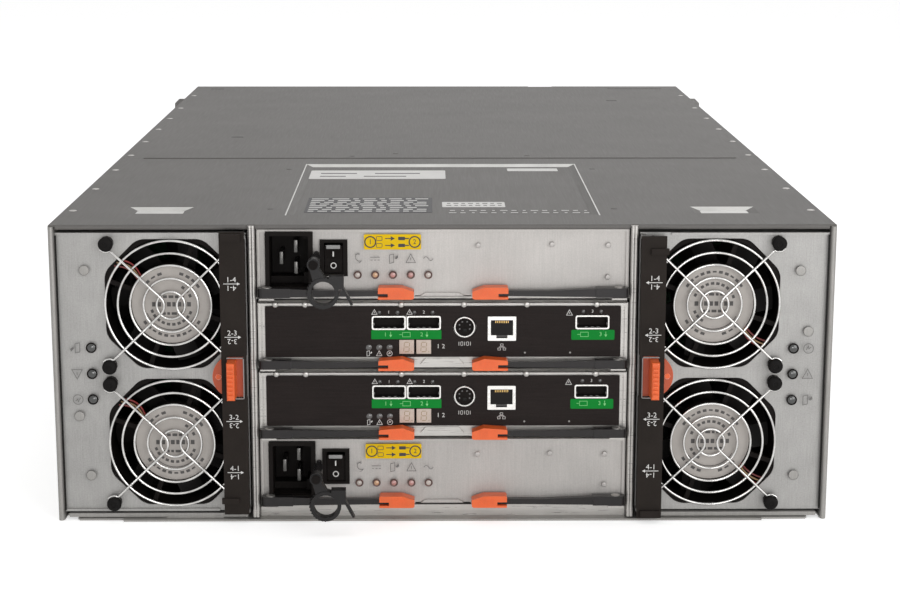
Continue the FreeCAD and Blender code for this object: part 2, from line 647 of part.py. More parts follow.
def psu_inlet(z):
    x0, x1 = INLET_X
    shroud = box(x0, x1, 0.9, 26, z + 4.6, z + 38.6)
    cavity = box(x0 + 2.3, x1 - 2.4, 0, 22, z + 10.6, z + 36.6)
    well = box(x0 + 2.3, x1 - 2.4, 0, 12, z + 6.6, z + 10.8)
    keys = []
    for cx, cz in ((x1 - 2.4, z + 36.6), (x1 - 2.4, z + 10.6)):
        key = box(cx - 3.2, cx + 1, 6, 23, cz - 3.2, cz + 3.2)
        keys.append(key)
    shroud = shroud.cut(fuse([cavity, well]).cut(Part.makeCompound(keys)))
    blades = []
    for bx, bz in ((x0 + 8.8, 22.3), (x0 + 17.1, 29.1), (x0 + 17.1, 16.5)):
        blades.append(box(bx - 1.0, bx + 1.0, 8.4, 23, z + bz - 3.6, z + bz + 3.6))
    rc = ROCKER_X
    rz = z + ROCKER_Z
    frame = box(rc - 7.3, rc + 7.3, 0.0, 20, rz - 9.95, rz + 9.95)
    lip = box(rc - 7.9, rc + 7.9, 0.0, PANEL_Y, rz - 10.5, rz + 10.5)
    frame = fuse([frame, lip])
    well_b = box(rc - 5.4, rc + 5.4, -1, 16, rz - 8.95, rz + 8.95)
    sockets = rod_x(5.0, rz, rc - 6.2, rc + 6.2, 1.06)
    frame = cut(frame, [well_b, sockets])
    post = rod_y(CLIP_X, z + CLIP_Z, -REAR_REACH + 0.6, 14, 1.5)
    cap = rod_y(CLIP_X, z + CLIP_Z, -REAR_REACH, -REAR_REACH + 0.9, 2.6)
    return [fuse([shroud] + blades), frame, fuse([post, cap])]


def psu_rocker(z):
    rc = ROCKER_X
    rz = z + ROCKER_Z
    pts = [(0.9, 0.0), (-0.47, 7.8), (0.6, 8.2), (9.5, 4.6), (9.5, -4.6), (0.6, -8.2), (-0.47, -7.8)]
    body = prism_x([(y, rz + h) for y, h in pts], rc - 5.1, rc + 5.1)
    pins = rod_x(5.0, rz, rc - 6.0, rc + 6.0, 1.0)
    shape = fuse([body, pins])
    shape.rotate(Vector(rc, 5.0, rz), Vector(1, 0, 0), 10)
    return shape


def cord_clip(z):
    y0 = -REAR_REACH + 1.2
    y1 = y0 + 6.6
    ax = CLIP_X
    az = z + CLIP_Z
    cx = ax + 5.3
    cz = az - 16.2
    ring = many_sided_y(cx, cz, y0, y1, 8.8, 20)
    eye = many_sided_y(ax, az, y0, y1, 3.6, 12)
    neck = prism_y([(ax - 2.6, az - 1), (ax + 2.4, az - 1), (cx + 1.6, cz + 8.0), (cx - 5.4, cz + 6.0)],
                   y0 + 0.6, y1 - 0.6)
    head = box(cx + 3.2, cx + 11.4, y0, y1, cz + 2.4, cz + 9.6)
    strap = [(cx + 9.4, cz + 4.0), (cx + 10.6, cz + 4.6), (cx + 16.4, cz - 6.6), (cx + 15.2, cz - 7.0)]
    tail = prism_y(strap, y0 + 1, y1 - 1)
    body = fuse([ring, eye, neck, head, tail])
    inside = many_sided_y(cx, cz, y0 - 1, y1 + 1, 6.8, 20)
    return cut(body, [rod_y(ax, az, y0 - 1, y1 + 1, 1.56), inside])


# ---- controllers ----
SAS = ((-31.1, 26.9), (-11.0, 26.9), (85.6, 27.1))
SAS_W = 19.2
SAS_H = 7.8
JACK = (33.75, 23.5)
DIN = (12.4, 24.4)


def sbb_case(z):
    x = MODULE_HALF_W
    outer = box(-x, x, PANEL_Y, MODULE_L, z, z + SBB_H)
    inner = box(-x + 1, x - 1, PANEL_Y + 1.2, MODULE_L + 1, z + 0.8, z + SBB_H - 1)
    shell = outer.cut(inner)
    shapes = [shell]
    for side in (-1, 1):
        shapes.append(box(side * (x - 0.7), side * (x - 1.9), 0.6, PANEL_Y, z + 6.4, z + SBB_H))
        shapes.append(box(side * (x - 2.9), side * (x - 4.1), 0.6, PANEL_Y, z + 6.4, z + SBB_H - 1.0))
    shapes.append(box(-x + 0.7, x - 0.7, 0.6, PANEL_Y, z + SBB_H - 1.5, z + SBB_H))
    shapes.append(box(13.2 - x, x - 13.2, 1.2, PANEL_Y, z + 5.6, z + 6.6))
    shapes.append(prism_y([(-13, z + 2.2), (12, z + 2.2), (9, z + 5.7), (-10, z + 5.7)], 0.4, PANEL_Y))
    tools = []
    for cx, cz in SAS:
        tools.append(box(cx - SAS_W / 2, cx + SAS_W / 2, 0, 5, z + cz - SAS_H / 2, z + cz + SAS_H / 2))
    tools.append(box(JACK[0] - 8.2, JACK[0] + 8.2, 0, 5, z + JACK[1] - 7.2, z + JACK[1] + 7.2))
    tools.append(rod_y(DIN[0], z + DIN[1], 0, 5, 6.5))
    tools.append(box(-25.4, -6.6, 0, 5, z + 7.4, z + 17.0))
    return [cut(fuse(shapes), tools)] + lever_ears(z, z + 0.8, z + 5.7)


def sbb_ports(z):
    parts = []
    board_z = z + 8.0
    board = box(-100, 100, 6.0, MODULE_L - 2, board_z, board_z + 1.6)
    edge = []
    for x in (-86, 42):
        edge.append(box(x, x + 44, MODULE_L - 12, MODULE_L + 4, z + 7, z + 21))
    parts.append(fuse([board] + edge))
    for x in (-100, 90):
        parts.append(box(x, x + 10, 20, 30, z + 0.8, board_z))
        parts.append(box(x, x + 10, 250, 260, z + 0.8, board_z))
    for cx, cz in SAS:
        y0 = 1.0
        cage = box(cx - SAS_W / 2, cx + SAS_W / 2, y0, 34, z + cz - SAS_H / 2, z + cz + SAS_H / 2)
        slot = box(cx - 8.2, cx + 8.2, y0 - 1, 20, z + cz - 2.9, z + cz + 2.9)
        tongue = box(cx - 6.8, cx + 6.8, 8, 21, z + cz - 0.6, z + cz + 0.6)
        leg = box(cx - 6, cx + 6, 24, 33, board_z + 1.6, z + cz - SAS_H / 2)
        parts.append(fuse([cage.cut(slot), tongue, leg]))
    jx, jz = JACK
    jack = box(jx - 8.2, jx + 8.2, 1.0, 17, z + jz - 7.2, z + jz + 7.2)
    hole = box(jx - 6.2, jx + 6.2, 0, 14, z + jz - 4.4, z + jz + 4.2)
    latch = box(jx - 2.2, jx + 2.2, 0, 14, z + jz + 4.0, z + jz + 5.8)
    jack = jack.cut(hole.fuse(latch))
    contacts = box(jx - 4.4, jx + 4.4, 9.0, 15.0, z + jz - 4.4, z + jz - 3.2)
    stand = box(jx - 7, jx + 7, 8, 16, board_z + 1.6, z + jz - 7.2)
    parts.append(fuse([jack, contacts, stand]))
    dx, dz = DIN
    din = many_sided_y(dx, z + dz, 1.0, 16, 6.4, 20).cut(many_sided_y(dx, z + dz, 0, 12, 5.3, 20))
    core = many_sided_y(dx, z + dz, 3.0, 13, 4.4, 12)
    stand = box(dx - 4, dx + 4, 9, 16, board_z + 1.6, z + dz - 5.0)
    parts.append(fuse([din, core, stand]))
    for cx in (-20.9, -11.1):
        parts.append(box(cx - 4.5, cx + 4.5, 1.0, 12, z + 9.6, z + 16.9))
    return parts


# ---- drawers ----
def drawer(index):
    z = drawer_z(index)
    z1 = z + DRAWER_PITCH - DRAWER_GAP
    w = DRAWER_HALF_W
    y1 = CASE_L + 2.0
    shapes = [box(-w, w, DRAWER_Y0 + 2, y1, z, z + 1.2)]
    for side in (-1, 1):
        shapes.append(box(side * (w - 1.2), side * w, DRAWER_Y0 + 2, y1, z, z1 - 3))
        slide = box(side * (w - 0.6), side * (w + 5.2), DRAWER_Y0 + 12, CASE_L - 12, z + 11.8, z + 16.2)
        shapes.append(slide)
    shapes.append(box(-w, w, DRAWER_Y0 + 2, DRAWER_Y0 + 3.2, z, z1 - 6))
    for k in range(1, DRIVE_COLUMNS):
        x = (k - DRIVE_COLUMNS / 2) * (DRIVE_W + DRIVE_GAP_X)
        shapes.append(box(x - 0.6, x + 0.6, DRAWER_Y0 + 3, y1, z + 1, z + 14))
    bezel = box(-w - 7, w + 7, y1, y1 + 13, z, z1)
    slots = []
    for x in (-105, -42, 42, 105):
        slots.append(box(x - 28, x + 28, y1 - 1, y1 + 14, z + 7.5, z + 24.5))
    parts = [fuse(shapes), cut(bezel, slots)]
    for side in (-1, 1):
        base = box(side * (w - 62), side * (w + 5), y1 + 13, y1 + 18, z + 5, z1 - 5)
        arm = prism_z([(side * (w - 58), y1 + 17), (side * w, y1 + 17), (side * w, y1 + 21),
                       (side * (w - 50), y1 + FRONT_REACH - 2.0), (side * (w - 58), y1 + FRONT_REACH - 2.0)],
                      z + 8, z1 - 8)
        parts.append(fuse([base, arm]))
    return parts


def drives(index):
    z = drawer_z(index) + 1.2
    blocks = []
    room = CASE_L + 2.0 - DRAWER_Y0 - DRIVE_BACK
    for row in range(int((room + DRIVE_GAP_Y) // (DRIVE_L + DRIVE_GAP_Y))):
        y = DRAWER_Y0 + DRIVE_BACK + row * (DRIVE_L + DRIVE_GAP_Y)
        for col in range(DRIVE_COLUMNS):
            x = (col - (DRIVE_COLUMNS - 1) / 2) * (DRIVE_W + DRIVE_GAP_X)
            blocks.append(box(x - DRIVE_W / 2, x + DRIVE_W / 2, y, y + DRIVE_L, z, z + DRIVE_H))
    return blocks


# ---- build ----
save("chassis_tray", chassis_tray())
save("top_cover_rear", top_cover_rear())
save("top_cover_front", top_cover_front())
save("bay_dividers", bay_dividers())
save("module_shelves", module_shelves())
save("midplane_board", midplane_board())
save("rack_ears", rack_ears())
save("drawer_runners", drawer_runners())

case_r = fan_case()
frames_r = Part.makeCompound(fan_frames())
guard_r = Part.makeCompound(fan_guard())
handle_r = fan_handle()
latch_r = fan_latch()
save("fan_case_right", case_r)
save("fan_case_left", half_turn(case_r))
save("fan_frames_right", frames_r)
save("fan_frames_left", half_turn(frames_r))
save("fan_guards_right", guard_r)
save("fan_guards_left", half_turn(guard_r))
save("fan_handle_right", handle_r)
save("fan_handle_left", half_turn(handle_r))
save("fan_latch_right", latch_r)
save("fan_latch_left", half_turn(latch_r))
low, high = fan_centres()
save("fan_rotor_right_low", fan_rotor(*low))
save("fan_rotor_right_high", fan_rotor(*high))
save("fan_rotor_left_high", half_turn(fan_rotor(*low)))
save("fan_rotor_left_low", half_turn(fan_rotor(*high)))

for name in ("a", "b"):
    base = PSU_Z[name]
    save("psu_case_" + name, psu_case(base))
    save("psu_inlet_" + name, psu_inlet(base))
    save("psu_rocker_" + name, psu_rocker(base))
    save("cord_clip_" + name, cord_clip(base))
    arm = lever(base + 1.4, 5.4)
    grip = lever_latch(base + 1.4, 0.0)
    save("psu_lever_" + name + "_right", arm)
    save("psu_lever_" + name + "_left", mirrored(arm))
    save("psu_latch_" + name + "_right", grip)
    save("psu_latch_" + name + "_left", mirrored(grip))
    base = SBB_Z[name]
    save("sbb_case_" + name, sbb_case(base))
    save("sbb_ports_" + name, sbb_ports(base))
    arm = lever(base + 1.1, 4.9)
    grip = lever_latch(base + 1.1, 1.0)
    save("sbb_lever_" + name + "_right", arm)
    save("sbb_lever_" + name + "_left", mirrored(arm))
    save("sbb_latch_" + name + "_right", grip)
    save("sbb_latch_" + name + "_left", mirrored(grip))

for number in range(DRAWERS):
    save("drawer_" + str(number + 1), drawer(number))
    save("drawer_" + str(number + 1) + "_drives", drives(number))
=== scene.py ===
"""Looks of a dense disk shelf for a 19-inch rack: finishes, wires, lamps, printed marks and small fasteners.

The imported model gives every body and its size. Positions here are in case millimetres: X to the right as
seen from behind, Y from the rear edge of the case towards the drawers, Z up from the underside.
"""
from __future__ import annotations

import logging
import math
from dataclasses import dataclass, field
from enum import Enum
from typing import Sequence

import bmesh
import bpy
from mathutils import Matrix, Vector
from mathutils.geometry import tessellate_polygon


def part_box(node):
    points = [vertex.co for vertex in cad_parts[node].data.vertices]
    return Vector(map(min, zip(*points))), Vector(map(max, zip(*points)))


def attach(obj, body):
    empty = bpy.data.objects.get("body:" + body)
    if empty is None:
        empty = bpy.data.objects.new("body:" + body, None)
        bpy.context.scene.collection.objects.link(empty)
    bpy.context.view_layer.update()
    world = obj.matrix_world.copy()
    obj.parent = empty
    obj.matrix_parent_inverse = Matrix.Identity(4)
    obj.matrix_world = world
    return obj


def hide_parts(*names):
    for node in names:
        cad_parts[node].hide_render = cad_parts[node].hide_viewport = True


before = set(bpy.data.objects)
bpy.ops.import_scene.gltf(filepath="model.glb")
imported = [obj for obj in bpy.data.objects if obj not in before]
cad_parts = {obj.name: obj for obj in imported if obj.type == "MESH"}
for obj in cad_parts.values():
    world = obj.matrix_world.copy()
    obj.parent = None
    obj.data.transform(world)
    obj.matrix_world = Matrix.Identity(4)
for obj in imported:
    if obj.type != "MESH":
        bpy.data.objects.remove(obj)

LOG = logging.getLogger("disk_shelf")
MM = 0.001
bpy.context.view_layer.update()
HEM_BEAD = 2.0
REAR_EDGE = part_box("chassis_tray")[0].y + HEM_BEAD * MM
Colour = tuple[float, float, float]
Point = tuple[float, float]
Spot = tuple[float, float, float]


def at(x: float, y: float, z: float) -> Vector:
    """A point given in case millimetres, as the frame's metres."""
    return Vector((x * MM, REAR_EDGE + y * MM, z * MM))


def low(node: str) -> Vector:
    """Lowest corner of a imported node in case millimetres."""
    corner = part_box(node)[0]
    return Vector((corner.x / MM, (corner.y - REAR_EDGE) / MM, corner.z / MM))


def high(node: str) -> Vector:
    """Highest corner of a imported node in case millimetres."""
    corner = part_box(node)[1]
    return Vector((corner.x / MM, (corner.y - REAR_EDGE) / MM, corner.z / MM))


# ---- finishes
class Grain(Enum):
    """Which way a surface's fine lines run."""

    NONE = (1.0, 1.0, 1.0)
    UPRIGHT = (1.0, 1.0, 0.035)
    LENGTHWAYS = (1.0, 0.03, 1.0)
    ACROSS = (0.035, 1.0, 1.0)


@dataclass(frozen=True)
class Finish:
    """One surface finish, turned into one material the first time that it is used."""

    name: str
    colour: Colour
    metallic: float = 0.0
    roughness: float = 0.5
    patches: float = 0.12
    patch_mm: float = 14.0
    grain: Grain = Grain.NONE
    grain_mm: float = 0.5
    grain_depth: float = 0.06
    bump_mm: float = 0.01
    speckle: float = 0.0
    speckle_mm: float = 0.6
    coat: float = 0.0
    specular: float = 0.5
    glow: float = 0.0
    clear: float = 0.0

    def material(self) -> bpy.types.Material:
        """The finish's material, made once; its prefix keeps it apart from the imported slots' materials."""
        found = bpy.data.materials.get("finish_" + self.name)
        return found if found else self._make()

    def _noise(self, tree: bpy.types.NodeTree, size_mm: float, stretch: Spot,
               detail: float) -> bpy.types.Node:
        """A noise texture on the piece's own coordinates.

        Args:
            tree: the material's node tree.
            size_mm: the size of the noise's cells.
            stretch: how the cells are drawn out along each axis.
            detail: how much finer noise lies on top.

        Returns:
            The noise node.
        """
        place = tree.nodes.new("ShaderNodeTexCoord")
        mapping = tree.nodes.new("ShaderNodeMapping")
        mapping.inputs["Scale"].default_value = stretch
        noise = tree.nodes.new("ShaderNodeTexNoise")
        noise.inputs["Scale"].default_value = 1.0 / (size_mm * MM)
        noise.inputs["Detail"].default_value = detail
        noise.inputs["Roughness"].default_value = 0.55
        tree.links.new(place.outputs["Object"], mapping.inputs["Vector"])
        tree.links.new(mapping.outputs["Vector"], noise.inputs["Vector"])
        return noise

    def _scaled(self, tree: bpy.types.NodeTree, source: bpy.types.NodeSocket, low_to: float,
                high_to: float) -> bpy.types.NodeSocket:
        """Noise between 0.3 and 0.7 carried to a range.

        Args:
            tree: the material's node tree.
            source: the value that is carried over.
            low_to: the new low end.
            high_to: the new high end.

        Returns:
            The output socket.
        """
        node = tree.nodes.new("ShaderNodeMapRange")
        node.inputs["From Min"].default_value = 0.3
        node.inputs["From Max"].default_value = 0.7
        node.inputs["To Min"].default_value = low_to
        node.inputs["To Max"].default_value = high_to
        tree.links.new(source, node.inputs["Value"])
        return node.outputs["Result"]

    def _times(self, tree: bpy.types.NodeTree, one: bpy.types.NodeSocket,
               two: bpy.types.NodeSocket) -> bpy.types.NodeSocket:
        """Product of two values.

        Args:
            tree: the material's node tree.
            one: the first value.
            two: the second value.

        Returns:
            The output socket.
        """
        node = tree.nodes.new("ShaderNodeMath")
        node.operation = "MULTIPLY"
        tree.links.new(one, node.inputs[0])
        tree.links.new(two, node.inputs[1])
        return node.outputs[0]

    def _make(self) -> bpy.types.Material:
        """Builds the node tree: patches, grain and speckle in tone, roughness and relief.

        Returns:
            The new material.
        """
        material = bpy.data.materials.new("finish_" + self.name)
        material.use_nodes = True
        tree = material.node_tree
        shader = tree.nodes["Principled BSDF"]
        shader.inputs["Metallic"].default_value = self.metallic
        shader.inputs["Specular IOR Level"].default_value = self.specular
        shader.inputs["Coat Weight"].default_value = self.coat
        shader.inputs["Transmission Weight"].default_value = self.clear
        if self.glow > 0:
            shader.inputs["Emission Color"].default_value = (*self.colour, 1.0)
            shader.inputs["Emission Strength"].default_value = self.glow
        broad = self._noise(tree, self.patch_mm, (1.0, 1.0, 1.0), 3.0)
        fine = self._noise(tree, self.grain_mm, self.grain.value, 2.0)
        tone = self._times(tree, self._scaled(tree, broad.outputs["Fac"], 1 - self.patches, 1 + self.patches),
                           self._scaled(tree, fine.outputs["Fac"], 1 - self.grain_depth,
                                        1 + self.grain_depth))
        if self.speckle > 0:
            dots = self._noise(tree, self.speckle_mm, (1.0, 1.0, 1.0), 1.0)
            tone = self._times(tree, tone, self._scaled(tree, dots.outputs["Fac"], 1 - self.speckle,
                                                        1 + self.speckle))
        paint = tree.nodes.new("ShaderNodeMix")
        paint.data_type = "RGBA"
        paint.blend_type = "MULTIPLY"
        paint.inputs["Factor"].default_value = 1.0
        paint.inputs["A"].default_value = (*self.colour, 1.0)
        tree.links.new(tone, paint.inputs["B"])
        tree.links.new(paint.outputs["Result"], shader.inputs["Base Color"])
        rough = self._scaled(tree, fine.outputs["Fac"], max(self.roughness - 0.06, 0.02),
                             self.roughness + 0.06)
        tree.links.new(rough, shader.inputs["Roughness"])
        if self.bump_mm > 0:
            relief = tree.nodes.new("ShaderNodeBump")
            relief.inputs["Strength"].default_value = 0.6
            relief.inputs["Distance"].default_value = self.bump_mm * MM
            tree.links.new(fine.outputs["Fac"], relief.inputs["Height"])
            tree.links.new(relief.outputs["Normal"], shader.inputs["Normal"])
        return material


COVER_STEEL = Finish("cover_steel", (0.150, 0.1435, 0.137), metallic=0.1, roughness=0.55, patches=0.05,
                     patch_mm=60.0, grain=Grain.LENGTHWAYS, grain_mm=0.9, grain_depth=0.05, speckle=0.03,
                     specular=0.10)
# Pale steel that paints the highlight which the pans' sloped walls, rims and small floors catch from the
# bright surround.
PAN_HIGHLIGHT = Finish("pan_painted_highlight", (0.60, 0.59, 0.565), metallic=0.2, roughness=0.34, patches=0.10,
                   patch_mm=20.0)
TRAY_STEEL = Finish("tray_steel", (0.31, 0.30, 0.285), metallic=0.4, roughness=0.40, patches=0.07,
                    patch_mm=40.0, grain=Grain.UPRIGHT, grain_depth=0.08, speckle=0.05, specular=0.2)
FAN_ZINC = Finish("fan_zinc", (0.345, 0.338, 0.327), metallic=0.4, roughness=0.40, patches=0.07,
                  patch_mm=22.0, grain=Grain.UPRIGHT, grain_mm=0.55, grain_depth=0.07, speckle=0.07,
                  speckle_mm=0.8, specular=0.2)
PSU_ZINC = Finish("psu_zinc", (0.430, 0.410, 0.392), metallic=0.25, roughness=0.36, patches=0.06,
                  patch_mm=30.0, grain=Grain.UPRIGHT, grain_mm=0.5, grain_depth=0.05, speckle=0.05,
                  speckle_mm=0.7, specular=0.2)
TRIM_STEEL = Finish("trim_steel", (0.42, 0.405, 0.385), metallic=0.7, roughness=0.32, patches=0.06,
                    patch_mm=18.0, grain=Grain.ACROSS, grain_depth=0.05, specular=0.3)
BRIGHT_STEEL = Finish("bright_steel", (0.78, 0.76, 0.73), metallic=0.95, roughness=0.22, patches=0.04)
EAR_PAINT = Finish("ear_paint", (0.27, 0.262, 0.254), metallic=0.1, roughness=0.55, patches=0.05,
                   speckle=0.04, specular=0.2)
CHROME = Finish("guard_chrome", (0.56, 0.55, 0.535), metallic=1.0, roughness=0.14, patches=0.22, patch_mm=7.0,
                bump_mm=0.0)
SILVER = Finish("port_silver", (0.68, 0.665, 0.64), metallic=0.9, roughness=0.26, patches=0.08, patch_mm=4.0)
# Port metal painted nearly black as the shade deep inside the ports.
PORT_SHADE_METAL = Finish("port_depths", (0.016, 0.015, 0.0145), metallic=0.2, roughness=0.5, patches=0.10,
                    specular=0.05)
# Steel darkened as painted shade, for metal that stands deep in an inlet, a port cage or a jack.
SHADED_STEEL = Finish("steel_painted_shade", (0.10, 0.097, 0.093), metallic=0.9, roughness=0.3, patches=0.08)
GOLD = Finish("contact_gold", (0.75, 0.50, 0.18), metallic=1.0, roughness=0.3, patches=0.03)
BLACK_PLASTIC = Finish("black_plastic", (0.0100, 0.0082, 0.0075), roughness=0.46, patches=0.15, grain_mm=0.35,
                       bump_mm=0.02, specular=0.05)
NYLON = Finish("black_nylon", (0.008, 0.007, 0.007), roughness=0.36, patches=0.12, grain_mm=1.4, bump_mm=0.03,
               specular=0.25)
STRIP_PLASTIC = Finish("strip_plastic", (0.0240, 0.0195, 0.0170), roughness=0.5, patches=0.10, grain_mm=0.3,
                       grain_depth=0.12, bump_mm=0.03, specular=0.05)
ROTOR_PLASTIC = Finish("rotor_plastic", (0.0085, 0.0075, 0.007), roughness=0.38, patches=0.10, specular=0.12)
RUBBER = Finish("plug_rubber", (0.009, 0.0082, 0.008), roughness=0.62, patches=0.10, grain_mm=0.4,
                bump_mm=0.03, specular=0.08)
BLACK_PAINT = Finish("panel_black", (0.0195, 0.015, 0.014), roughness=0.44, patches=0.08, patch_mm=30.0,
                     grain=Grain.ACROSS, grain_mm=0.6, grain_depth=0.14, speckle=0.10, bump_mm=0.012,
                     specular=0.06)
LEVER_BLACK = Finish("lever_black", (0.014, 0.012, 0.012), metallic=0.1, roughness=0.34, patches=0.12,
                     specular=0.3)
ORANGE = Finish("latch_orange", (0.79, 0.125, 0.022), roughness=0.42, patches=0.05, patch_mm=7.0,
                grain_mm=0.4, bump_mm=0.015, coat=0.05)
# The latch's orange darkened as painted shade, for the slider plate and its round end lying in shadow beside
# the tab.
SHADED_ORANGE = Finish("plate_orange_painted_shade", (0.46, 0.070, 0.016), roughness=0.45, patches=0.06, bump_mm=0.015)
GREEN_BOARD = Finish("board_green", (0.012, 0.115, 0.035), roughness=0.38, patches=0.12, patch_mm=5.0,
                     grain_mm=1.1, grain_depth=0.14, specular=0.5)
GREEN_TAG = Finish("tag_green", (0.0045, 0.225, 0.030), roughness=0.45, patches=0.04, grain_depth=0.03,
                   specular=0.08)
YELLOW_TAG = Finish("tag_yellow", (0.76, 0.50, 0.006), roughness=0.45, patches=0.03, grain_depth=0.02,
                    specular=0.1)
WHITE_TAG = Finish("tag_white", (0.80, 0.79, 0.77), roughness=0.55, patches=0.03, grain_depth=0.02,
                   specular=0.1)
GREY_TAG = Finish("tag_grey", (0.30, 0.295, 0.29), roughness=0.5, patches=0.05, specular=0.1)
HUB_LABEL = Finish("hub_label", (0.400, 0.372, 0.347), metallic=0.1, roughness=0.42, patches=0.05,
                   patch_mm=8.0, grain_depth=0.03, specular=0.2)
INK = Finish("dark_ink", (0.030, 0.028, 0.030), roughness=0.6, patches=0.08)
GREY_INK = Finish("grey_ink", (0.17, 0.165, 0.16), roughness=0.6, patches=0.08, specular=0.1)
HUB_INK = Finish("hub_ink", (0.105, 0.10, 0.098), roughness=0.6, patches=0.08, specular=0.1)
WHITE_INK = Finish("white_ink", (0.66, 0.65, 0.63), roughness=0.55, patches=0.06)
PALE_GREEN_INK = Finish("pale_green_ink", (0.20, 0.62, 0.22), roughness=0.5, patches=0.05)
SMOKE_LENS = Finish("smoke_lens", (0.075, 0.072, 0.070), roughness=0.2, patches=0.10, coat=0.5)
DARK_LENS = Finish("dark_lens", (0.035, 0.036, 0.034), roughness=0.16, patches=0.10, coat=0.6)
AMBER_LENS = Finish("amber_lens", (0.55, 0.33, 0.19), roughness=0.2, patches=0.08, coat=0.5)
ROSE_LENS = Finish("rose_lens", (0.50, 0.27, 0.25), roughness=0.2, patches=0.08, coat=0.5)
MILK_LENS = Finish("milk_lens", (0.50, 0.44, 0.40), roughness=0.22, patches=0.08, coat=0.5)
LED_RIM = Finish("lamp_rim", (0.10, 0.060, 0.052), metallic=0.6, roughness=0.35, patches=0.08)
DIGIT_FACE = Finish("digit_face", (0.56, 0.47, 0.41), roughness=0.4, patches=0.05, patch_mm=5.0, specular=0.2)
DIGIT_BAR = Finish("digit_bar", (0.34, 0.25, 0.16), roughness=0.4, patches=0.04)
DRAWER_BLACK = Finish("drawer_black", (0.020, 0.019, 0.020), roughness=0.48, patches=0.10, grain_mm=0.35,
                      bump_mm=0.025)
DRIVE_ALLOY = Finish("drive_alloy", (0.56, 0.56, 0.56), metallic=0.85, roughness=0.32, patches=0.07,
                     patch_mm=20.0, speckle=0.05)
RED_WIRE = Finish("wire_red", (0.24, 0.020, 0.018), roughness=0.4, patches=0.05)
TAN_WIRE = Finish("wire_tan", (0.34, 0.22, 0.11), roughness=0.4, patches=0.05)
ROSE_WIRE = Finish("wire_rose", (0.20, 0.045, 0.042), roughness=0.4, patches=0.05)

CAD_FINISHES: dict[str, Finish] = {
    "chassis_tray": TRAY_STEEL,
    "top_cover_rear": COVER_STEEL,
    "top_cover_front": COVER_STEEL,
    "bay_dividers": TRIM_STEEL,
    "module_shelves": TRIM_STEEL,
    "midplane_board": GREEN_BOARD,
    "rack_ears": EAR_PAINT,
    "drawer_runners": TRIM_STEEL,
}


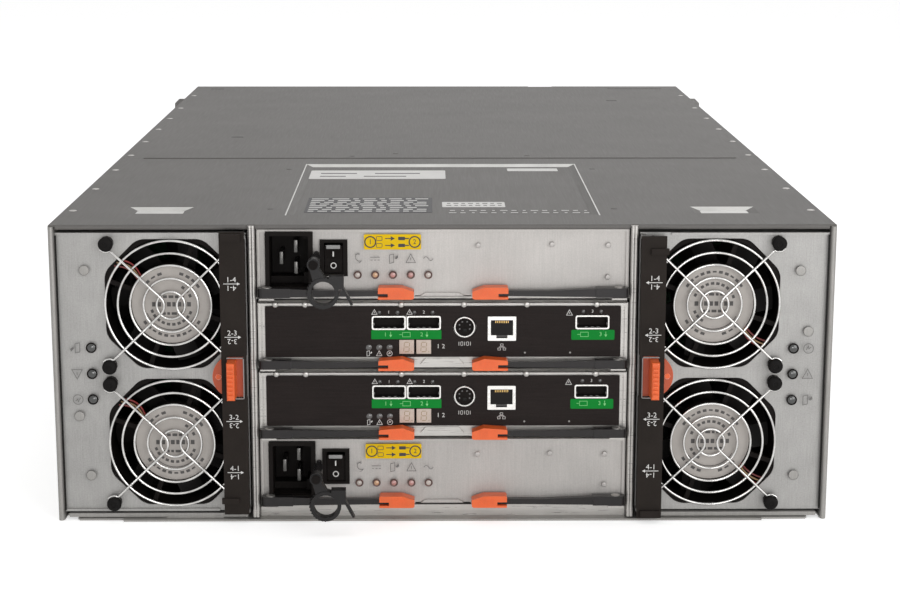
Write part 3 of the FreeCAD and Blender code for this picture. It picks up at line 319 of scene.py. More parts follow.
# ---- bench
class Shape:
    """Closed shapes in case millimetres, gathered into one piece of the object."""

    def __init__(self) -> None:
        """Starts an empty piece."""
        self.verts: list[Spot] = []
        self.faces: list[tuple[int, ...]] = []
        self.paint: list[int] = []
        self.finishes: list[Finish] = []

    def add(self, verts: Sequence[Spot], faces: Sequence[Sequence[int]], finish: Finish) -> None:
        """Adds faces in one finish.

        Args:
            verts: corners in case millimetres.
            faces: corner numbers of each face, seen from outside.
            finish: the finish of these faces.
        """
        if finish not in self.finishes:
            self.finishes.append(finish)
        slot = self.finishes.index(finish)
        start = len(self.verts)
        self.verts.extend(tuple(v) for v in verts)
        self.faces.extend(tuple(start + i for i in face) for face in faces)
        self.paint.extend([slot] * len(faces))

    def block(self, x: Point, y: Point, z: Point, finish: Finish, edge: float = 0.0) -> None:
        """Adds a block, with its edges cut back where edge is given.

        Args:
            x: its two ends along X.
            y: its two ends along Y.
            z: its two ends along Z.
            finish: its finish.
            edge: how far each edge is cut back.
        """
        mesh = bmesh.new()
        bmesh.ops.create_cube(mesh, size=1.0)
        span = Vector((abs(x[1] - x[0]), abs(y[1] - y[0]), abs(z[1] - z[0])))
        middle = Vector(((x[0] + x[1]) / 2, (y[0] + y[1]) / 2, (z[0] + z[1]) / 2))
        for vert in mesh.verts:
            vert.co = Vector((vert.co.x * span.x, vert.co.y * span.y, vert.co.z * span.z)) + middle
        if edge > 0:
            bmesh.ops.bevel(mesh, geom=list(mesh.edges), offset=edge, segments=2, profile=0.6, affect="EDGES")
        self.take(mesh, finish)

    def take(self, mesh: bmesh.types.BMesh, finish: Finish) -> None:
        """Adds a finished bmesh and frees it.

        Args:
            mesh: the shape in case millimetres.
            finish: its finish.
        """
        bmesh.ops.recalc_face_normals(mesh, faces=list(mesh.faces))
        mesh.verts.index_update()
        self.add([tuple(v.co) for v in mesh.verts], [[v.index for v in f.verts] for f in mesh.faces], finish)
        mesh.free()

    def turned(self, profile: Sequence[Point], middle: Spot, finish: Finish, axis: Spot = (0, -1, 0),
               sides: int = 24) -> None:
        """Adds a shape turned on a lathe; a profile that starts and ends on the axis is closed by itself.

        Args:
            profile: radius and height along the axis, in order.
            middle: the point of height 0 on the axis.
            finish: its finish.
            axis: the direction in which height grows.
            sides: how many flats stand for the round.
        """
        lift = Vector(axis).normalized()
        across = lift.orthogonal().normalized()
        other = lift.cross(across)
        verts: list[Vector] = []
        rings: list[list[int]] = []
        for radius, height in profile:
            count = 1 if radius < 1e-6 else sides
            rings.append(list(range(len(verts), len(verts) + count)))
            for k in range(count):
                turn = 2 * math.pi * k / sides
                arm = across * math.cos(turn) + other * math.sin(turn)
                verts.append(Vector(middle) + lift * height + arm * radius)
        faces: list[list[int]] = []
        closed = profile[0][0] > 1e-6
        pairs = list(zip(rings, rings[1:]))
        if closed:
            pairs.append((rings[-1], rings[0]))
        for one, two in pairs:
            if len(one) == 1 and len(two) == 1:
                continue
            for k in range(sides):
                face = [one[k % len(one)], one[(k + 1) % len(one)], two[(k + 1) % len(two)],
                        two[k % len(two)]]
                faces.append(list(dict.fromkeys(face)))
        mesh = bmesh.new()
        made = [mesh.verts.new(v) for v in verts]
        for face in faces:
            mesh.faces.new([made[i] for i in face])
        self.take(mesh, finish)

    def tube(self, path: Sequence[Spot], radius: float, finish: Finish, sides: int = 10,
             closed: bool = False) -> None:
        """Adds a round wire along a path.

        Args:
            path: the points that its middle follows.
            radius: half its thickness.
            finish: its finish.
            sides: how many flats stand for the round.
            closed: whether the last point joins the first.
        """
        points = [Vector(p) for p in path]
        count = len(points)
        verts: list[Vector] = []
        normal = (points[1] - points[0]).orthogonal().normalized()
        for k, point in enumerate(points):
            before = points[(k - 1) % count] if closed or k > 0 else point
            after = points[(k + 1) % count] if closed or k < count - 1 else point
            along = (after - before).normalized()
            normal = (normal - along * normal.dot(along)).normalized()
            side = along.cross(normal)
            for j in range(sides):
                turn = 2 * math.pi * j / sides
                verts.append(point + (normal * math.cos(turn) + side * math.sin(turn)) * radius)
        faces: list[list[int]] = []
        for k in range(count if closed else count - 1):
            here, there = k * sides, ((k + 1) % count) * sides
            for j in range(sides):
                n = (j + 1) % sides
                faces.append([here + j, here + n, there + n, there + j])
        if not closed:
            faces.append(list(range(sides))[::-1])
            faces.append([(count - 1) * sides + j for j in range(sides)])
        self.add([tuple(v) for v in verts], faces, finish)

    def plate(self, outline: Sequence[Point], y: Point, finish: Finish,
              holes: Sequence[Sequence[Point]] = (), flat: str = "xz") -> None:
        """Adds a flat plate with holes.

        Args:
            outline: the corners of its rim.
            y: its two faces along the third axis.
            finish: its finish.
            holes: the corners of each hole.
            flat: the two axes of the outline, xz, xy or yz.
        """
        loops = [[Vector((p[0], p[1], 0)) for p in loop] for loop in (outline, *holes)]
        corners = [p for loop in loops for p in loop]
        near, far = min(y), max(y)

        def spot(p: Vector, depth: float) -> Spot:
            """The corner in case millimetres."""
            return {"xz": (p.x, depth, p.y), "xy": (p.x, p.y, depth), "yz": (depth, p.x, p.y)}[flat]

        mesh = bmesh.new()
        front = [mesh.verts.new(spot(p, near)) for p in corners]
        back = [mesh.verts.new(spot(p, far)) for p in corners]
        for tri in tessellate_polygon(loops):
            if len(set(tri)) == 3:
                mesh.faces.new([front[i] for i in tri])
                mesh.faces.new([back[i] for i in reversed(tri)])
        start = 0
        for loop in loops:
            for k in range(len(loop)):
                a, b = start + k, start + (k + 1) % len(loop)
                mesh.faces.new([front[a], front[b], back[b], back[a]])
            start += len(loop)
        self.take(mesh, finish)

    def stroke(self, path: Sequence[Point], width: float, y: Point, finish: Finish, closed: bool = False,
               flat: str = "xz") -> None:
        """Adds a printed line with mitred corners.

        Args:
            path: the points of the line.
            width: its width.
            y: its two faces along the third axis.
            finish: its finish.
            closed: whether the line runs back to its start.
            flat: the two axes of the path.
        """
        points = [Vector(p) for p in path]
        count = len(points)
        left: list[Point] = []
        right: list[Point] = []
        for k, point in enumerate(points):
            into = (point - points[k - 1]).normalized() if closed or k > 0 else None
            out = (points[(k + 1) % count] - point).normalized() if closed or k < count - 1 else None
            into = into or out
            out = out or into
            along = (into + out).normalized() if (into + out).length > 1e-6 else into
            normal = Vector((-along.y, along.x))
            reach = width / 2 / max(0.35, normal.dot(Vector((-out.y, out.x))))
            left.append(tuple(point + normal * reach))
            right.append(tuple(point - normal * reach))
        if closed:
            self.plate(left if _area(left) > _area(right) else right, y, finish,
                       [right if _area(left) > _area(right) else left], flat)
        else:
            self.plate(left + right[::-1], y, finish, flat=flat)

    def text(self, words: str, middle: Point, size: float, y: Point, finish: Finish, turn: float = 0.0,
             flat: str = "xz", flip: bool = False) -> None:
        """Adds printed numbers or letters.

        Args:
            words: what is printed.
            middle: the middle of the print.
            size: letter height in millimetres.
            y: the two faces of the print along the third axis.
            finish: its finish.
            turn: degrees by which it is turned.
            flat: the two axes of the print.
            flip: whether it is read from the far side.
        """
        curve = bpy.data.curves.new("print", "FONT")
        curve.body = words
        curve.size = size * 1.4
        curve.align_x = "CENTER"
        curve.align_y = "CENTER"
        curve.resolution_u = 2
        curve.extrude = 0.5
        holder = bpy.data.objects.new("print", curve)
        bpy.context.scene.collection.objects.link(holder)
        mesh = bpy.data.meshes.new_from_object(holder)
        made = bmesh.new()
        made.from_mesh(mesh)
        bmesh.ops.remove_doubles(made, verts=list(made.verts), dist=1e-5)
        spin = Matrix.Rotation(math.radians(turn), 3, "Z")
        near, far = min(y), max(y)
        for vert in made.verts:
            depth = near if vert.co.z > 0 else far
            p = spin @ Vector((-vert.co.x if flip else vert.co.x, vert.co.y, 0))
            p += Vector((middle[0], middle[1], 0))
            vert.co = {"xz": (p.x, depth, p.y), "xy": (p.x, p.y, depth), "yz": (depth, p.x, p.y)}[flat]
        bpy.data.objects.remove(holder)
        bpy.data.curves.remove(curve)
        bpy.data.meshes.remove(mesh)
        self.take(made, finish)

    def finish(self, name: str, body: str, slot: str, sharp: float = 32.0) -> bpy.types.Object:
        """Makes the piece and lets it ride.

        Args:
            name: the piece's name.
            body: the body that it rides on.
            slot: not used.
            sharp: corners over this angle stay crisp.

        Returns:
            The piece's object.
        """
        mesh = bpy.data.meshes.new(name)
        mesh.from_pydata([at(*v) for v in self.verts], [], self.faces)
        for finish in self.finishes:
            mesh.materials.append(finish.material())
        mesh.polygons.foreach_set("material_index", self.paint)
        mesh.polygons.foreach_set("use_smooth", [True] * len(self.faces))
        mesh.update()
        mesh.set_sharp_from_angle(angle=math.radians(sharp))
        piece = bpy.data.objects.new(name, mesh)
        bpy.context.scene.collection.objects.link(piece)
        return settle(piece, body)


def settle(piece: bpy.types.Object, body: str) -> bpy.types.Object:
    """Lets a finished piece ride on a body.

    Args:
        piece: the finished object.
        body: the body that it rides on.

    Returns:
        The same object.
    """
    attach(piece, body)
    LOG.info("%s: %d faces on %s", piece.name, len(piece.data.polygons), body)
    return piece


def _area(loop: Sequence[Point]) -> float:
    """Size of a flat loop."""
    pairs = zip(loop, [*loop[1:], loop[0]])
    return abs(sum(a[0] * b[1] - b[0] * a[1] for a, b in pairs)) / 2


def arc(middle: Point, radius: float, start: float, end: float, steps: int) -> list[Point]:
    """Points along an arc from start to end degrees, both ends among them."""
    turns = [math.radians(start + (end - start) * k / steps) for k in range(steps + 1)]
    return [(middle[0] + radius * math.cos(t), middle[1] + radius * math.sin(t)) for t in turns]


def oblong(middle: Point, width: float, height: float, corner: float = 0.0) -> list[Point]:
    """Corners of a rectangle, rounded where corner is given.

    Args:
        middle: its centre.
        width: its width.
        height: its height.
        corner: the radius of its corners.

    Returns:
        The points in order.
    """
    w, h = width / 2, height / 2
    if corner <= 0:
        return [(middle[0] - w, middle[1] - h), (middle[0] + w, middle[1] - h),
                (middle[0] + w, middle[1] + h), (middle[0] - w, middle[1] + h)]
    points: list[Point] = []
    for sx, sz, start in ((1, -1, -90), (1, 1, 0), (-1, 1, 90), (-1, -1, 180)):
        centre = (middle[0] + sx * (w - corner), middle[1] + sz * (h - corner))
        points.extend(arc(centre, corner, start, start + 90, 4))
    return points


def circle(middle: Point, radius: float, sides: int = 24) -> list[Point]:
    """Points round a circle."""
    return arc(middle, radius, 0, 360, sides)[:-1]


# ---- what repeats
class Wiring:
    """A small Geometry Nodes tree under construction."""

    def __init__(self, name: str, sizes: dict[str, tuple[str, float]]) -> None:
        """Starts a tree with a geometry input and named sizes.

        Args:
            name: the tree's name.
            sizes: kind and default of each named input.
        """
        self.tree = bpy.data.node_groups.new(name, "GeometryNodeTree")
        face = self.tree.interface
        face.new_socket(name="Geometry", in_out="INPUT", socket_type="NodeSocketGeometry")
        face.new_socket(name="Geometry", in_out="OUTPUT", socket_type="NodeSocketGeometry")
        for key, (kind, default) in sizes.items():
            socket = face.new_socket(name=key, in_out="INPUT", socket_type=kind)
            if default is not None:
                socket.default_value = default
        face.new_socket(name="Finish", in_out="INPUT", socket_type="NodeSocketMaterial")
        self.start = self.tree.nodes.new("NodeGroupInput")

    def node(self, kind: str, **links: object) -> bpy.types.Node:
        """Adds a node and wires or sets its inputs.

        Args:
            kind: the node's type.
            links: each input's name, with spaces as underscores, and its socket or value.

        Returns:
            The new node.
        """
        made = self.tree.nodes.new(kind)
        for key, value in links.items():
            socket = made.inputs[key.replace("_", " ")]
            if isinstance(value, bpy.types.NodeSocket):
                self.tree.links.new(value, socket)
            else:
                socket.default_value = value
        return made

    def attribute(self, name: str, kind: str) -> bpy.types.NodeSocket:
        """A named attribute of the points that the tree runs over.

        Args:
            name: the attribute's name.
            kind: the type of its data.

        Returns:
            The output socket.
        """
        made = self.tree.nodes.new("GeometryNodeInputNamedAttribute")
        made.data_type = kind
        made.inputs["Name"].default_value = name
        return made.outputs["Attribute"]

    def close(self, geometry: bpy.types.NodeSocket, smooth: bool) -> bpy.types.NodeTree:
        """Ends the tree in real geometry with its finish.

        Args:
            geometry: what the tree has made.
            smooth: whether its faces are shaded smooth.

        Returns:
            The finished tree.
        """
        real = self.node("GeometryNodeRealizeInstances", Geometry=geometry)
        shaded = self.node("GeometryNodeSetShadeSmooth", Geometry=real.outputs["Geometry"],
                           Shade_Smooth=smooth)
        dressed = self.node("GeometryNodeSetMaterial", Geometry=shaded.outputs["Geometry"],
                            Material=self.start.outputs["Finish"])
        end = self.tree.nodes.new("NodeGroupOutput")
        self.tree.links.new(dressed.outputs["Geometry"], end.inputs["Geometry"])
        return self.tree


def stud_tree() -> bpy.types.NodeTree:
    """Low domes on points, each turned to the point's facing: rivets, screws, bumps and pins.

    Returns:
        The tree.
    """
    w = Wiring("studs", {"Radius": ("NodeSocketFloat", 0.002), "Rise": ("NodeSocketFloat", 0.0005),
                         "Sides": ("NodeSocketInt", 14)})
    dome = w.node("GeometryNodeMeshUVSphere", Segments=w.start.outputs["Sides"], Rings=6, Radius=1.0)
    size = w.node("ShaderNodeCombineXYZ", X=w.start.outputs["Radius"], Y=w.start.outputs["Radius"],
                  Z=w.start.outputs["Rise"])
    flat = w.node("GeometryNodeTransform", Geometry=dome.outputs["Mesh"], Scale=size.outputs["Vector"])
    turn = w.tree.nodes.new("FunctionNodeAlignRotationToVector")
    turn.axis = "Z"
    w.tree.links.new(w.attribute("facing", "FLOAT_VECTOR"), turn.inputs["Vector"])
    spread = w.node("GeometryNodeInstanceOnPoints", Points=w.start.outputs["Geometry"],
                    Instance=flat.outputs["Geometry"], Rotation=turn.outputs["Rotation"])
    return w.close(spread.outputs["Instances"], True)


def bar_tree() -> bpy.types.NodeTree:
    """Small blocks on points, each with its own size and turn: print lines, slats, ribs and vents.

    Returns:
        The tree.
    """
    w = Wiring("bars", {"Depth": ("NodeSocketFloat", 1.0)})
    block = w.node("GeometryNodeMeshCube")
    size = w.node("ShaderNodeVectorMath")
    size.operation = "SCALE"
    w.tree.links.new(w.attribute("size", "FLOAT_VECTOR"), size.inputs[0])
    w.tree.links.new(w.start.outputs["Depth"], size.inputs["Scale"])
    spin = w.tree.nodes.new("FunctionNodeEulerToRotation")
    w.tree.links.new(w.attribute("turn", "FLOAT_VECTOR"), spin.inputs[0])
    spread = w.node("GeometryNodeInstanceOnPoints", Points=w.start.outputs["Geometry"],
                    Instance=block.outputs["Mesh"], Rotation=spin.outputs[0], Scale=size.outputs["Vector"])
    return w.close(spread.outputs["Instances"], False)


def ring_tree() -> bpy.types.NodeTree:
    """Round wires about points, each with the point's own radius: the rings of a fan guard.

    Returns:
        The tree.
    """
    w = Wiring("wire_rings", {"Wire": ("NodeSocketFloat", 0.0008), "Steps": ("NodeSocketInt", 72)})
    circle_line = w.node("GeometryNodeCurvePrimitiveCircle", Resolution=w.start.outputs["Steps"], Radius=1.0)
    upright = w.node("GeometryNodeTransform", Geometry=circle_line.outputs["Curve"],
                     Rotation=(math.pi / 2, 0.0, 0.0))
    spread = w.node("GeometryNodeInstanceOnPoints", Points=w.start.outputs["Geometry"],
                    Instance=upright.outputs["Geometry"], Scale=w.attribute("radius", "FLOAT"))
    real = w.node("GeometryNodeRealizeInstances", Geometry=spread.outputs["Instances"])
    round_line = w.node("GeometryNodeCurvePrimitiveCircle", Resolution=10, Radius=w.start.outputs["Wire"])
    wire = w.node("GeometryNodeCurveToMesh", Curve=real.outputs["Geometry"],
                  Profile_Curve=round_line.outputs["Curve"], Fill_Caps=True)
    return w.close(wire.outputs["Mesh"], True)


def comb_tree() -> bpy.types.NodeTree:
    """Six-sided cells on points: the honeycomb grille behind a drawer's vents.

    Returns:
        The tree.
    """
    w = Wiring("honeycomb", {"Cell": ("NodeSocketFloat", 0.002), "Wall": ("NodeSocketFloat", 0.0003),
                             "Depth": ("NodeSocketFloat", 0.003)})
    line = w.node("GeometryNodeCurvePrimitiveCircle", Resolution=6, Radius=w.start.outputs["Cell"])
    upright = w.node("GeometryNodeTransform", Geometry=line.outputs["Curve"],
                     Rotation=(math.pi / 2, 0.0, 0.0))
    edge = w.node("GeometryNodeCurvePrimitiveQuadrilateral", Width=w.start.outputs["Wall"],
                  Height=w.start.outputs["Depth"])
    cell = w.node("GeometryNodeCurveToMesh", Curve=upright.outputs["Geometry"],
                  Profile_Curve=edge.outputs["Curve"], Fill_Caps=True)
    spread = w.node("GeometryNodeInstanceOnPoints", Points=w.start.outputs["Geometry"],
                    Instance=cell.outputs["Mesh"])
    return w.close(spread.outputs["Instances"], False)


class Repeats:
    """The trees of what repeats, and the way to run them over points."""

    def __init__(self) -> None:
        """Builds every tree once."""
        self.studs = stud_tree()
        self.bars = bar_tree()
        self.rings = ring_tree()
        self.combs = comb_tree()

    def run(self, name: str, tree: bpy.types.NodeTree, spots: Sequence[Spot], body: str,
            finish: Finish, sizes: dict[str, float] | None = None,
            carried: dict[str, Sequence[object]] | None = None) -> bpy.types.Object:
        """Runs a tree over points and keeps the result as a plain mesh.

        Args:
            name: the piece's name.
            tree: the tree to run.
            spots: the points in case millimetres.
            body: the body that the piece rides on.
            finish: its finish.
            sizes: the tree's named inputs.
            carried: values carried by the points, one for each.

        Returns:
            The piece's object.
        """
        mesh = bpy.data.meshes.new(name)
        mesh.from_pydata([at(*s) for s in spots], [], [])
        for key, values in (carried or {}).items():
            vector = not isinstance(values[0], float)
            layer = mesh.attributes.new(key, "FLOAT_VECTOR" if vector else "FLOAT", "POINT")
            flat = [float(n) for value in values for n in value] if vector else list(values)
            layer.data.foreach_set("vector" if vector else "value", flat)
        carrier = bpy.data.objects.new(name, mesh)
        bpy.context.scene.collection.objects.link(carrier)
        modifier = carrier.modifiers.new("repeat", "NODES")
        modifier.node_group = tree
        wanted = dict(sizes or {})
        wanted["Finish"] = finish.material()
        for socket in tree.interface.items_tree:
            if socket.item_type == "SOCKET" and socket.in_out == "INPUT" and socket.name in wanted:
                modifier[socket.identifier] = wanted[socket.name]
        graph = bpy.context.evaluated_depsgraph_get()
        made = bpy.data.meshes.new_from_object(carrier.evaluated_get(graph))
        bpy.data.objects.remove(carrier)
        bpy.data.meshes.remove(mesh)
        made.name = name
        for key in carried or {}:
            if key in made.attributes:
                made.attributes.remove(made.attributes[key])
        piece = bpy.data.objects.new(name, made)
        bpy.context.scene.collection.objects.link(piece)
        return settle(piece, body)

    def rivets(self, name: str, spots: Sequence[Spot], facing: Spot, radius: float, rise: float, body: str,
               slot: str, finish: Finish) -> bpy.types.Object:
        """Low domes that all face one way; radius and rise are in millimetres."""
        return self.run(name, self.studs, spots, body, finish,
                        {"Radius": radius * MM, "Rise": rise * MM}, {"facing": [facing] * len(spots)})

    def lines(self, name: str, marks: Sequence[tuple[Spot, Spot, float]], body: str, slot: str,
              finish: Finish, axis: int = 1) -> bpy.types.Object:
        """Print lines, slats or ribs, each with its own place, size and turn.

        Args:
            name: the piece's name.
            marks: place, size and turn in degrees of each.
            body: the body that they ride on.
            slot: not used.
            finish: their finish.
            axis: the axis that they turn about.

        Returns:
            The piece's object.
        """
        turns = [tuple(math.radians(m[2]) if k == axis else 0.0 for k in range(3)) for m in marks]
        return self.run(name, self.bars, [m[0] for m in marks], body, finish, {"Depth": MM},
                        {"size": [m[1] for m in marks], "turn": turns})


# ---- printed signs
class Sign(Enum):
    """The small signs printed beside lamps and ports."""

    POWER = "power"
    FAULT = "fault"
    TAKE_OUT = "take out"
    MOON = "standby"
    DIRECT = "direct current"
    MAINS = "mains"
    NETWORK = "network"
    SERIAL = "serial"


@dataclass
class Print:
    """Signs laid on a face, all in one ink."""

    shape: Shape
    face_y: float
    ink: Finish
    line: float = 0.35
    depth: float = 0.06

    def _y(self) -> Point:
        """The print's two faces along Y."""
        return (self.face_y - self.depth, self.face_y + 0.02)

    def draw(self, sign: Sign, middle: Point, size: float) -> None:
        """Prints one sign.

        Args:
            sign: which sign.
            middle: its middle.
            size: its height.
        """
        x, z = middle
        r = size / 2
        y = self._y()
        stroke = self.shape.stroke
        if sign is Sign.POWER:
            stroke(circle(middle, r * 0.95, 20), self.line, y, self.ink, closed=True)
            stroke([(x - r * 0.45, z - r * 0.3), (x, z + r * 0.5), (x + r * 0.05, z - r * 0.1),
                    (x + r * 0.5, z + r * 0.3)], self.line, y, self.ink)
        elif sign is Sign.FAULT:
            stroke([(x - r, z - r * 0.85), (x + r, z - r * 0.85), (x, z + r)], self.line, y, self.ink,
                   closed=True)
            self.shape.block((x - self.line / 2, x + self.line / 2), y, (z - r * 0.35, z + r * 0.25),
                             self.ink)
        elif sign is Sign.TAKE_OUT:
            door = [(x - r * 0.7, z - r), (x + r * 0.2, z - r * 0.8), (x + r * 0.2, z + r),
                    (x - r * 0.7, z + r * 0.8)]
            stroke(door, self.line, y, self.ink, closed=True)
            self.shape.plate([(x + r * 0.35, z + r * 0.05), (x + r * 1.0, z + r * 0.75),
                              (x + r * 1.15, z + r * 0.2), (x + r * 0.75, z - r * 0.1)], y, self.ink)
        elif sign is Sign.MOON:
            outer = arc((x - r * 0.1, z), r, 60, 330, 18)
            inner = arc((x + r * 0.42, z + r * 0.34), r * 0.86, 300, 95, 12)
            stroke(outer + inner, self.line, y, self.ink, closed=True)
        elif sign is Sign.DIRECT:
            self.shape.block((x - r, x + r), y, (z + r * 0.25, z + r * 0.25 + self.line), self.ink)
            for k in (-1, 0, 1):
                self.shape.block((x + k * r * 0.75 - r * 0.22, x + k * r * 0.75 + r * 0.22), y,
                                 (z - r * 0.35, z - r * 0.35 + self.line), self.ink)
        elif sign is Sign.MAINS:
            wave = [(x - r + 2 * r * k / 12, z + math.sin(2 * math.pi * k / 12) * r * 0.42)
                    for k in range(13)]
            stroke(wave, self.line, y, self.ink)
        elif sign is Sign.NETWORK:
            for px, pz in ((0, 0.6), (-0.75, -0.6), (0.75, -0.6)):
                stroke(oblong((x + px * r, z + pz * r), r * 0.75, r * 0.6), self.line * 0.8, y, self.ink,
                       closed=True)
            self.shape.block((x - r * 0.8, x + r * 0.8), y, (z - self.line / 2, z + self.line / 2), self.ink)
        elif sign is Sign.SERIAL:
            for k, tall in enumerate((True, False, True, False, True)):
                cx = x + (k - 2) * r * 0.75
                if tall:
                    self.shape.block((cx - self.line / 2, cx + self.line / 2), y, (z - r * 0.5, z + r * 0.5),
                                     self.ink)
                else:
                    stroke(oblong((cx, z), r * 0.55, r, r * 0.2), self.line * 0.8, y, self.ink, closed=True)

    def arrow(self, start: Point, end: Point, head: float) -> None:
        """Prints a straight arrow.

        Args:
            start: its tail.
            end: its tip.
            head: the length of its head.
        """
        along = (Vector(end) - Vector(start)).normalized()
        side = Vector((-along.y, along.x))
        neck = Vector(end) - along * head
        self.shape.stroke([start, tuple(neck)], self.line, self._y(), self.ink)
        self.shape.plate([tuple(neck + side * head * 0.55), tuple(neck - side * head * 0.55), end], self._y(),
                         self.ink)


# ---- case
@dataclass
class Case:
    """The tray, covers, dividers, shelves and ears, with the rivets and labels on the lid."""

    rivet_x: float = 218.0
    rivet_ys: tuple[float, ...] = (51, 135, 218, 290, 364, 438, 509, 583, 681)
    bump_spots: tuple[Point, ...] = ((-102, 222), (102, 222), (-102, 57), (102, 57), (-61.7, 286),
                                     (61.3, 288), (-31.7, 299))
    pans: tuple[tuple[float, float, float, float], ...] = ((-92, 92, 34, 246), (-186, -148, 38, 64),
                                                           (148, 186, 38, 64))
    pan_floor: float = 1.5
    pan_slope: float = 5.0
    stickers: tuple[tuple[Point, float, float, float, Finish], ...] = (
        ((-42, 206), 90, 38, 1.5, WHITE_TAG), ((-44, 80), 76, 56, 1.5, INK),
        ((19, 81.5), 38, 19, 1.0, WHITE_TAG), ((62, 228), 34, 12, 1.0, WHITE_TAG))
    sticker_words: tuple[tuple[float, ...], ...] = ((24, 30), (17, 28))
    text_left: float = -80.0
    text_right: float = -10.0
    wall_rows: tuple[float, ...] = (14.0, 160.0)
    wall_step: float = 62.0
    first_rivet: float = 26.0
    ear_rivets: int = 7
    ear_rivet_low: float = 22.0
    ear_rivet_step: float = 21.0
    ear_rivet_back: float = 12.0
    ear_rivet_shift: float = 14.0
    ear_sheet: float = 2.0
    skin: float = 0.12
    lid: float = field(init=False)
    wall: float = field(init=False)
    length: float = field(init=False)

    def __post_init__(self) -> None:
        """Reads the lid's height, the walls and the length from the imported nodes."""
        self.lid = high("top_cover_front").z
        self.wall = high("top_cover_front").x
        self.length = high("top_cover_front").y

    def build(self, repeats: Repeats) -> None:
        """Dresses the case's nodes and adds what is fixed to them.

        Args:
            repeats: the trees of what repeats.
        """
        for node, finish in CAD_FINISHES.items():
            dress(node, finish)
        self._lid_rivets(repeats)
        self._wall_rivets(repeats)
        self._pan_walls()
        self._labels(repeats)
        self._ear_rivets(repeats)

    def _lid_rivets(self, repeats: Repeats) -> None:
        """Adds the rivets along the lid's edges and the bumps round its label pan.

        Args:
            repeats: the trees of what repeats.
        """
        spots = [(side * self.rivet_x, y, self.lid) for side in (-1, 1) for y in self.rivet_ys]
        repeats.rivets("lid_rivets", spots, (0, 0, 1), 2.4, 0.45, "chassis", "case_steel", TRIM_STEEL)
        bumps = [(x, y, self.lid) for x, y in self.bump_spots]
        repeats.rivets("lid_bumps", bumps, (0, 0, 1), 2.0, 0.4, "chassis", "case_steel", COVER_STEEL)

    def _wall_rivets(self, repeats: Repeats) -> None:
        """Adds two rows of rivets along each side wall.

        Args:
            repeats: the trees of what repeats.
        """
        count = int((self.length - 120.0) / self.wall_step)
        for side, word in ((-1, "left"), (1, "right")):
            spots = [(side * self.wall, self.first_rivet + self.wall_step * k, z)
                     for k in range(count) for z in self.wall_rows]
            repeats.rivets("wall_rivets_" + word, spots, (side, 0, 0), 2.3, 0.6, "chassis", "case_steel",
                           TRIM_STEEL)

    def _pan_walls(self) -> None:
        """Lays a bright skin of painted highlight on the sloped walls of the label pan and of the two small
        pans, on the label pan's long rims and on the small pans' floors.
        """
        floor = self.lid - self.pan_floor
        walls = Shape()
        slope = self.pan_slope
        rim, base = self.lid + 0.03, floor + 0.05
        # Far walls, rims and small floors in pale steel: painted highlight standing in for the surround's
        # reflection.
        for x_0, x_1, _, y_1 in self.pans:
            far = [(x_0, y_1, rim), (x_1, y_1, rim), (x_1 - slope, y_1 - slope, base),
                   (x_0 + slope, y_1 - slope, base)]
            walls.add(far, [(3, 2, 1, 0)], PAN_HIGHLIGHT)
        for side in (-1, 1):
            walls.plate(oblong((side * 91.6, 140), 0.8, 212), (self.lid, rim), PAN_HIGHLIGHT, flat="xy")
            walls.plate(oblong((side * 167, 51), 28, 15.8, 2.0), (floor, base), PAN_HIGHLIGHT, flat="xy")
        walls.finish("pan_walls", "chassis", "case_steel")

    def _labels(self, repeats: Repeats) -> None:
        """Adds the plain stickers in the lid's pan, with their print.

        Args:
            repeats: the trees of what repeats.
        """
        floor = self.lid - self.pan_floor
        z = (floor, floor + self.skin)
        tags = Shape()
        for middle, wide, deep, corner, finish in self.stickers:
            tags.plate(oblong(middle, wide, deep, corner), z, finish, flat="xy")
        tags.finish("lid_stickers", "chassis", "case_steel")
        self._print(repeats, floor + self.skin)

    def _print(self, repeats: Repeats, top: float) -> None:
        """Lays rows of dashes on the stickers, where the real ones have small print.

        Args:
            repeats: the trees of what repeats.
            top: height of the stickers' faces.
        """
        dark: list[tuple[Spot, Spot, float]] = []
        pale: list[tuple[Spot, Spot, float]] = []
        for row, words in enumerate(self.sticker_words):
            left = self.text_left
            for wide in words:
                dark.append(((left + wide / 2, 211 - 13 * row, top), (wide, 3.4, 0.1), 0.0))
                left += wide + 12.0
        for row in range(8):
            left = self.text_left
            while left < self.text_right:
                step = (row * 5 + int(left - self.text_left)) % 4
                wide = 3.4 + 2.3 * step
                if left + wide < self.text_right + 2.5:
                    pale.append(((left + wide / 2, 57 + 6.6 * row, top), (wide, 2.6, 0.1), 0.0))
                left += wide + 2.4
        for row in range(2):
            for col in range(8):
                wide = 3.0 - 0.9 * ((row + col) % 2)
                dark.append(((4.0 + 4.4 * col, 78 + 7.4 * row, top), (wide, 2.2, 0.1), 0.0))
        for row in range(2):
            for col in range(14):
                wide = 4.4 - 1.4 * ((col + row) % 3)
                pale.append(((6 + 6.1 * col, 51 + 8 * row, top), (wide, 2.0, 0.1), 0.0))
        repeats.lines("lid_print_dark", dark, "chassis", "case_steel", GREY_INK, axis=2)
        repeats.lines("lid_print_pale", pale, "chassis", "case_steel", WHITE_INK, axis=2)

    def _ear_rivets(self, repeats: Repeats) -> None:
        """Adds the staggered rivets that hold the rack ears to the walls.

        Args:
            repeats: the trees of what repeats.
        """
        near_y = high("rack_ears").y - self.ear_rivet_back
        for side, word in ((-1, "left"), (1, "right")):
            spots = [(side * (self.wall + self.ear_sheet), near_y - self.ear_rivet_shift * (k % 2),
                      self.ear_rivet_low + self.ear_rivet_step * k) for k in range(self.ear_rivets)]
            repeats.rivets("ear_rivets_" + word, spots, (side, 0, 0), 2.6, 0.9, "chassis", "ear_paint",
                           TRIM_STEEL)


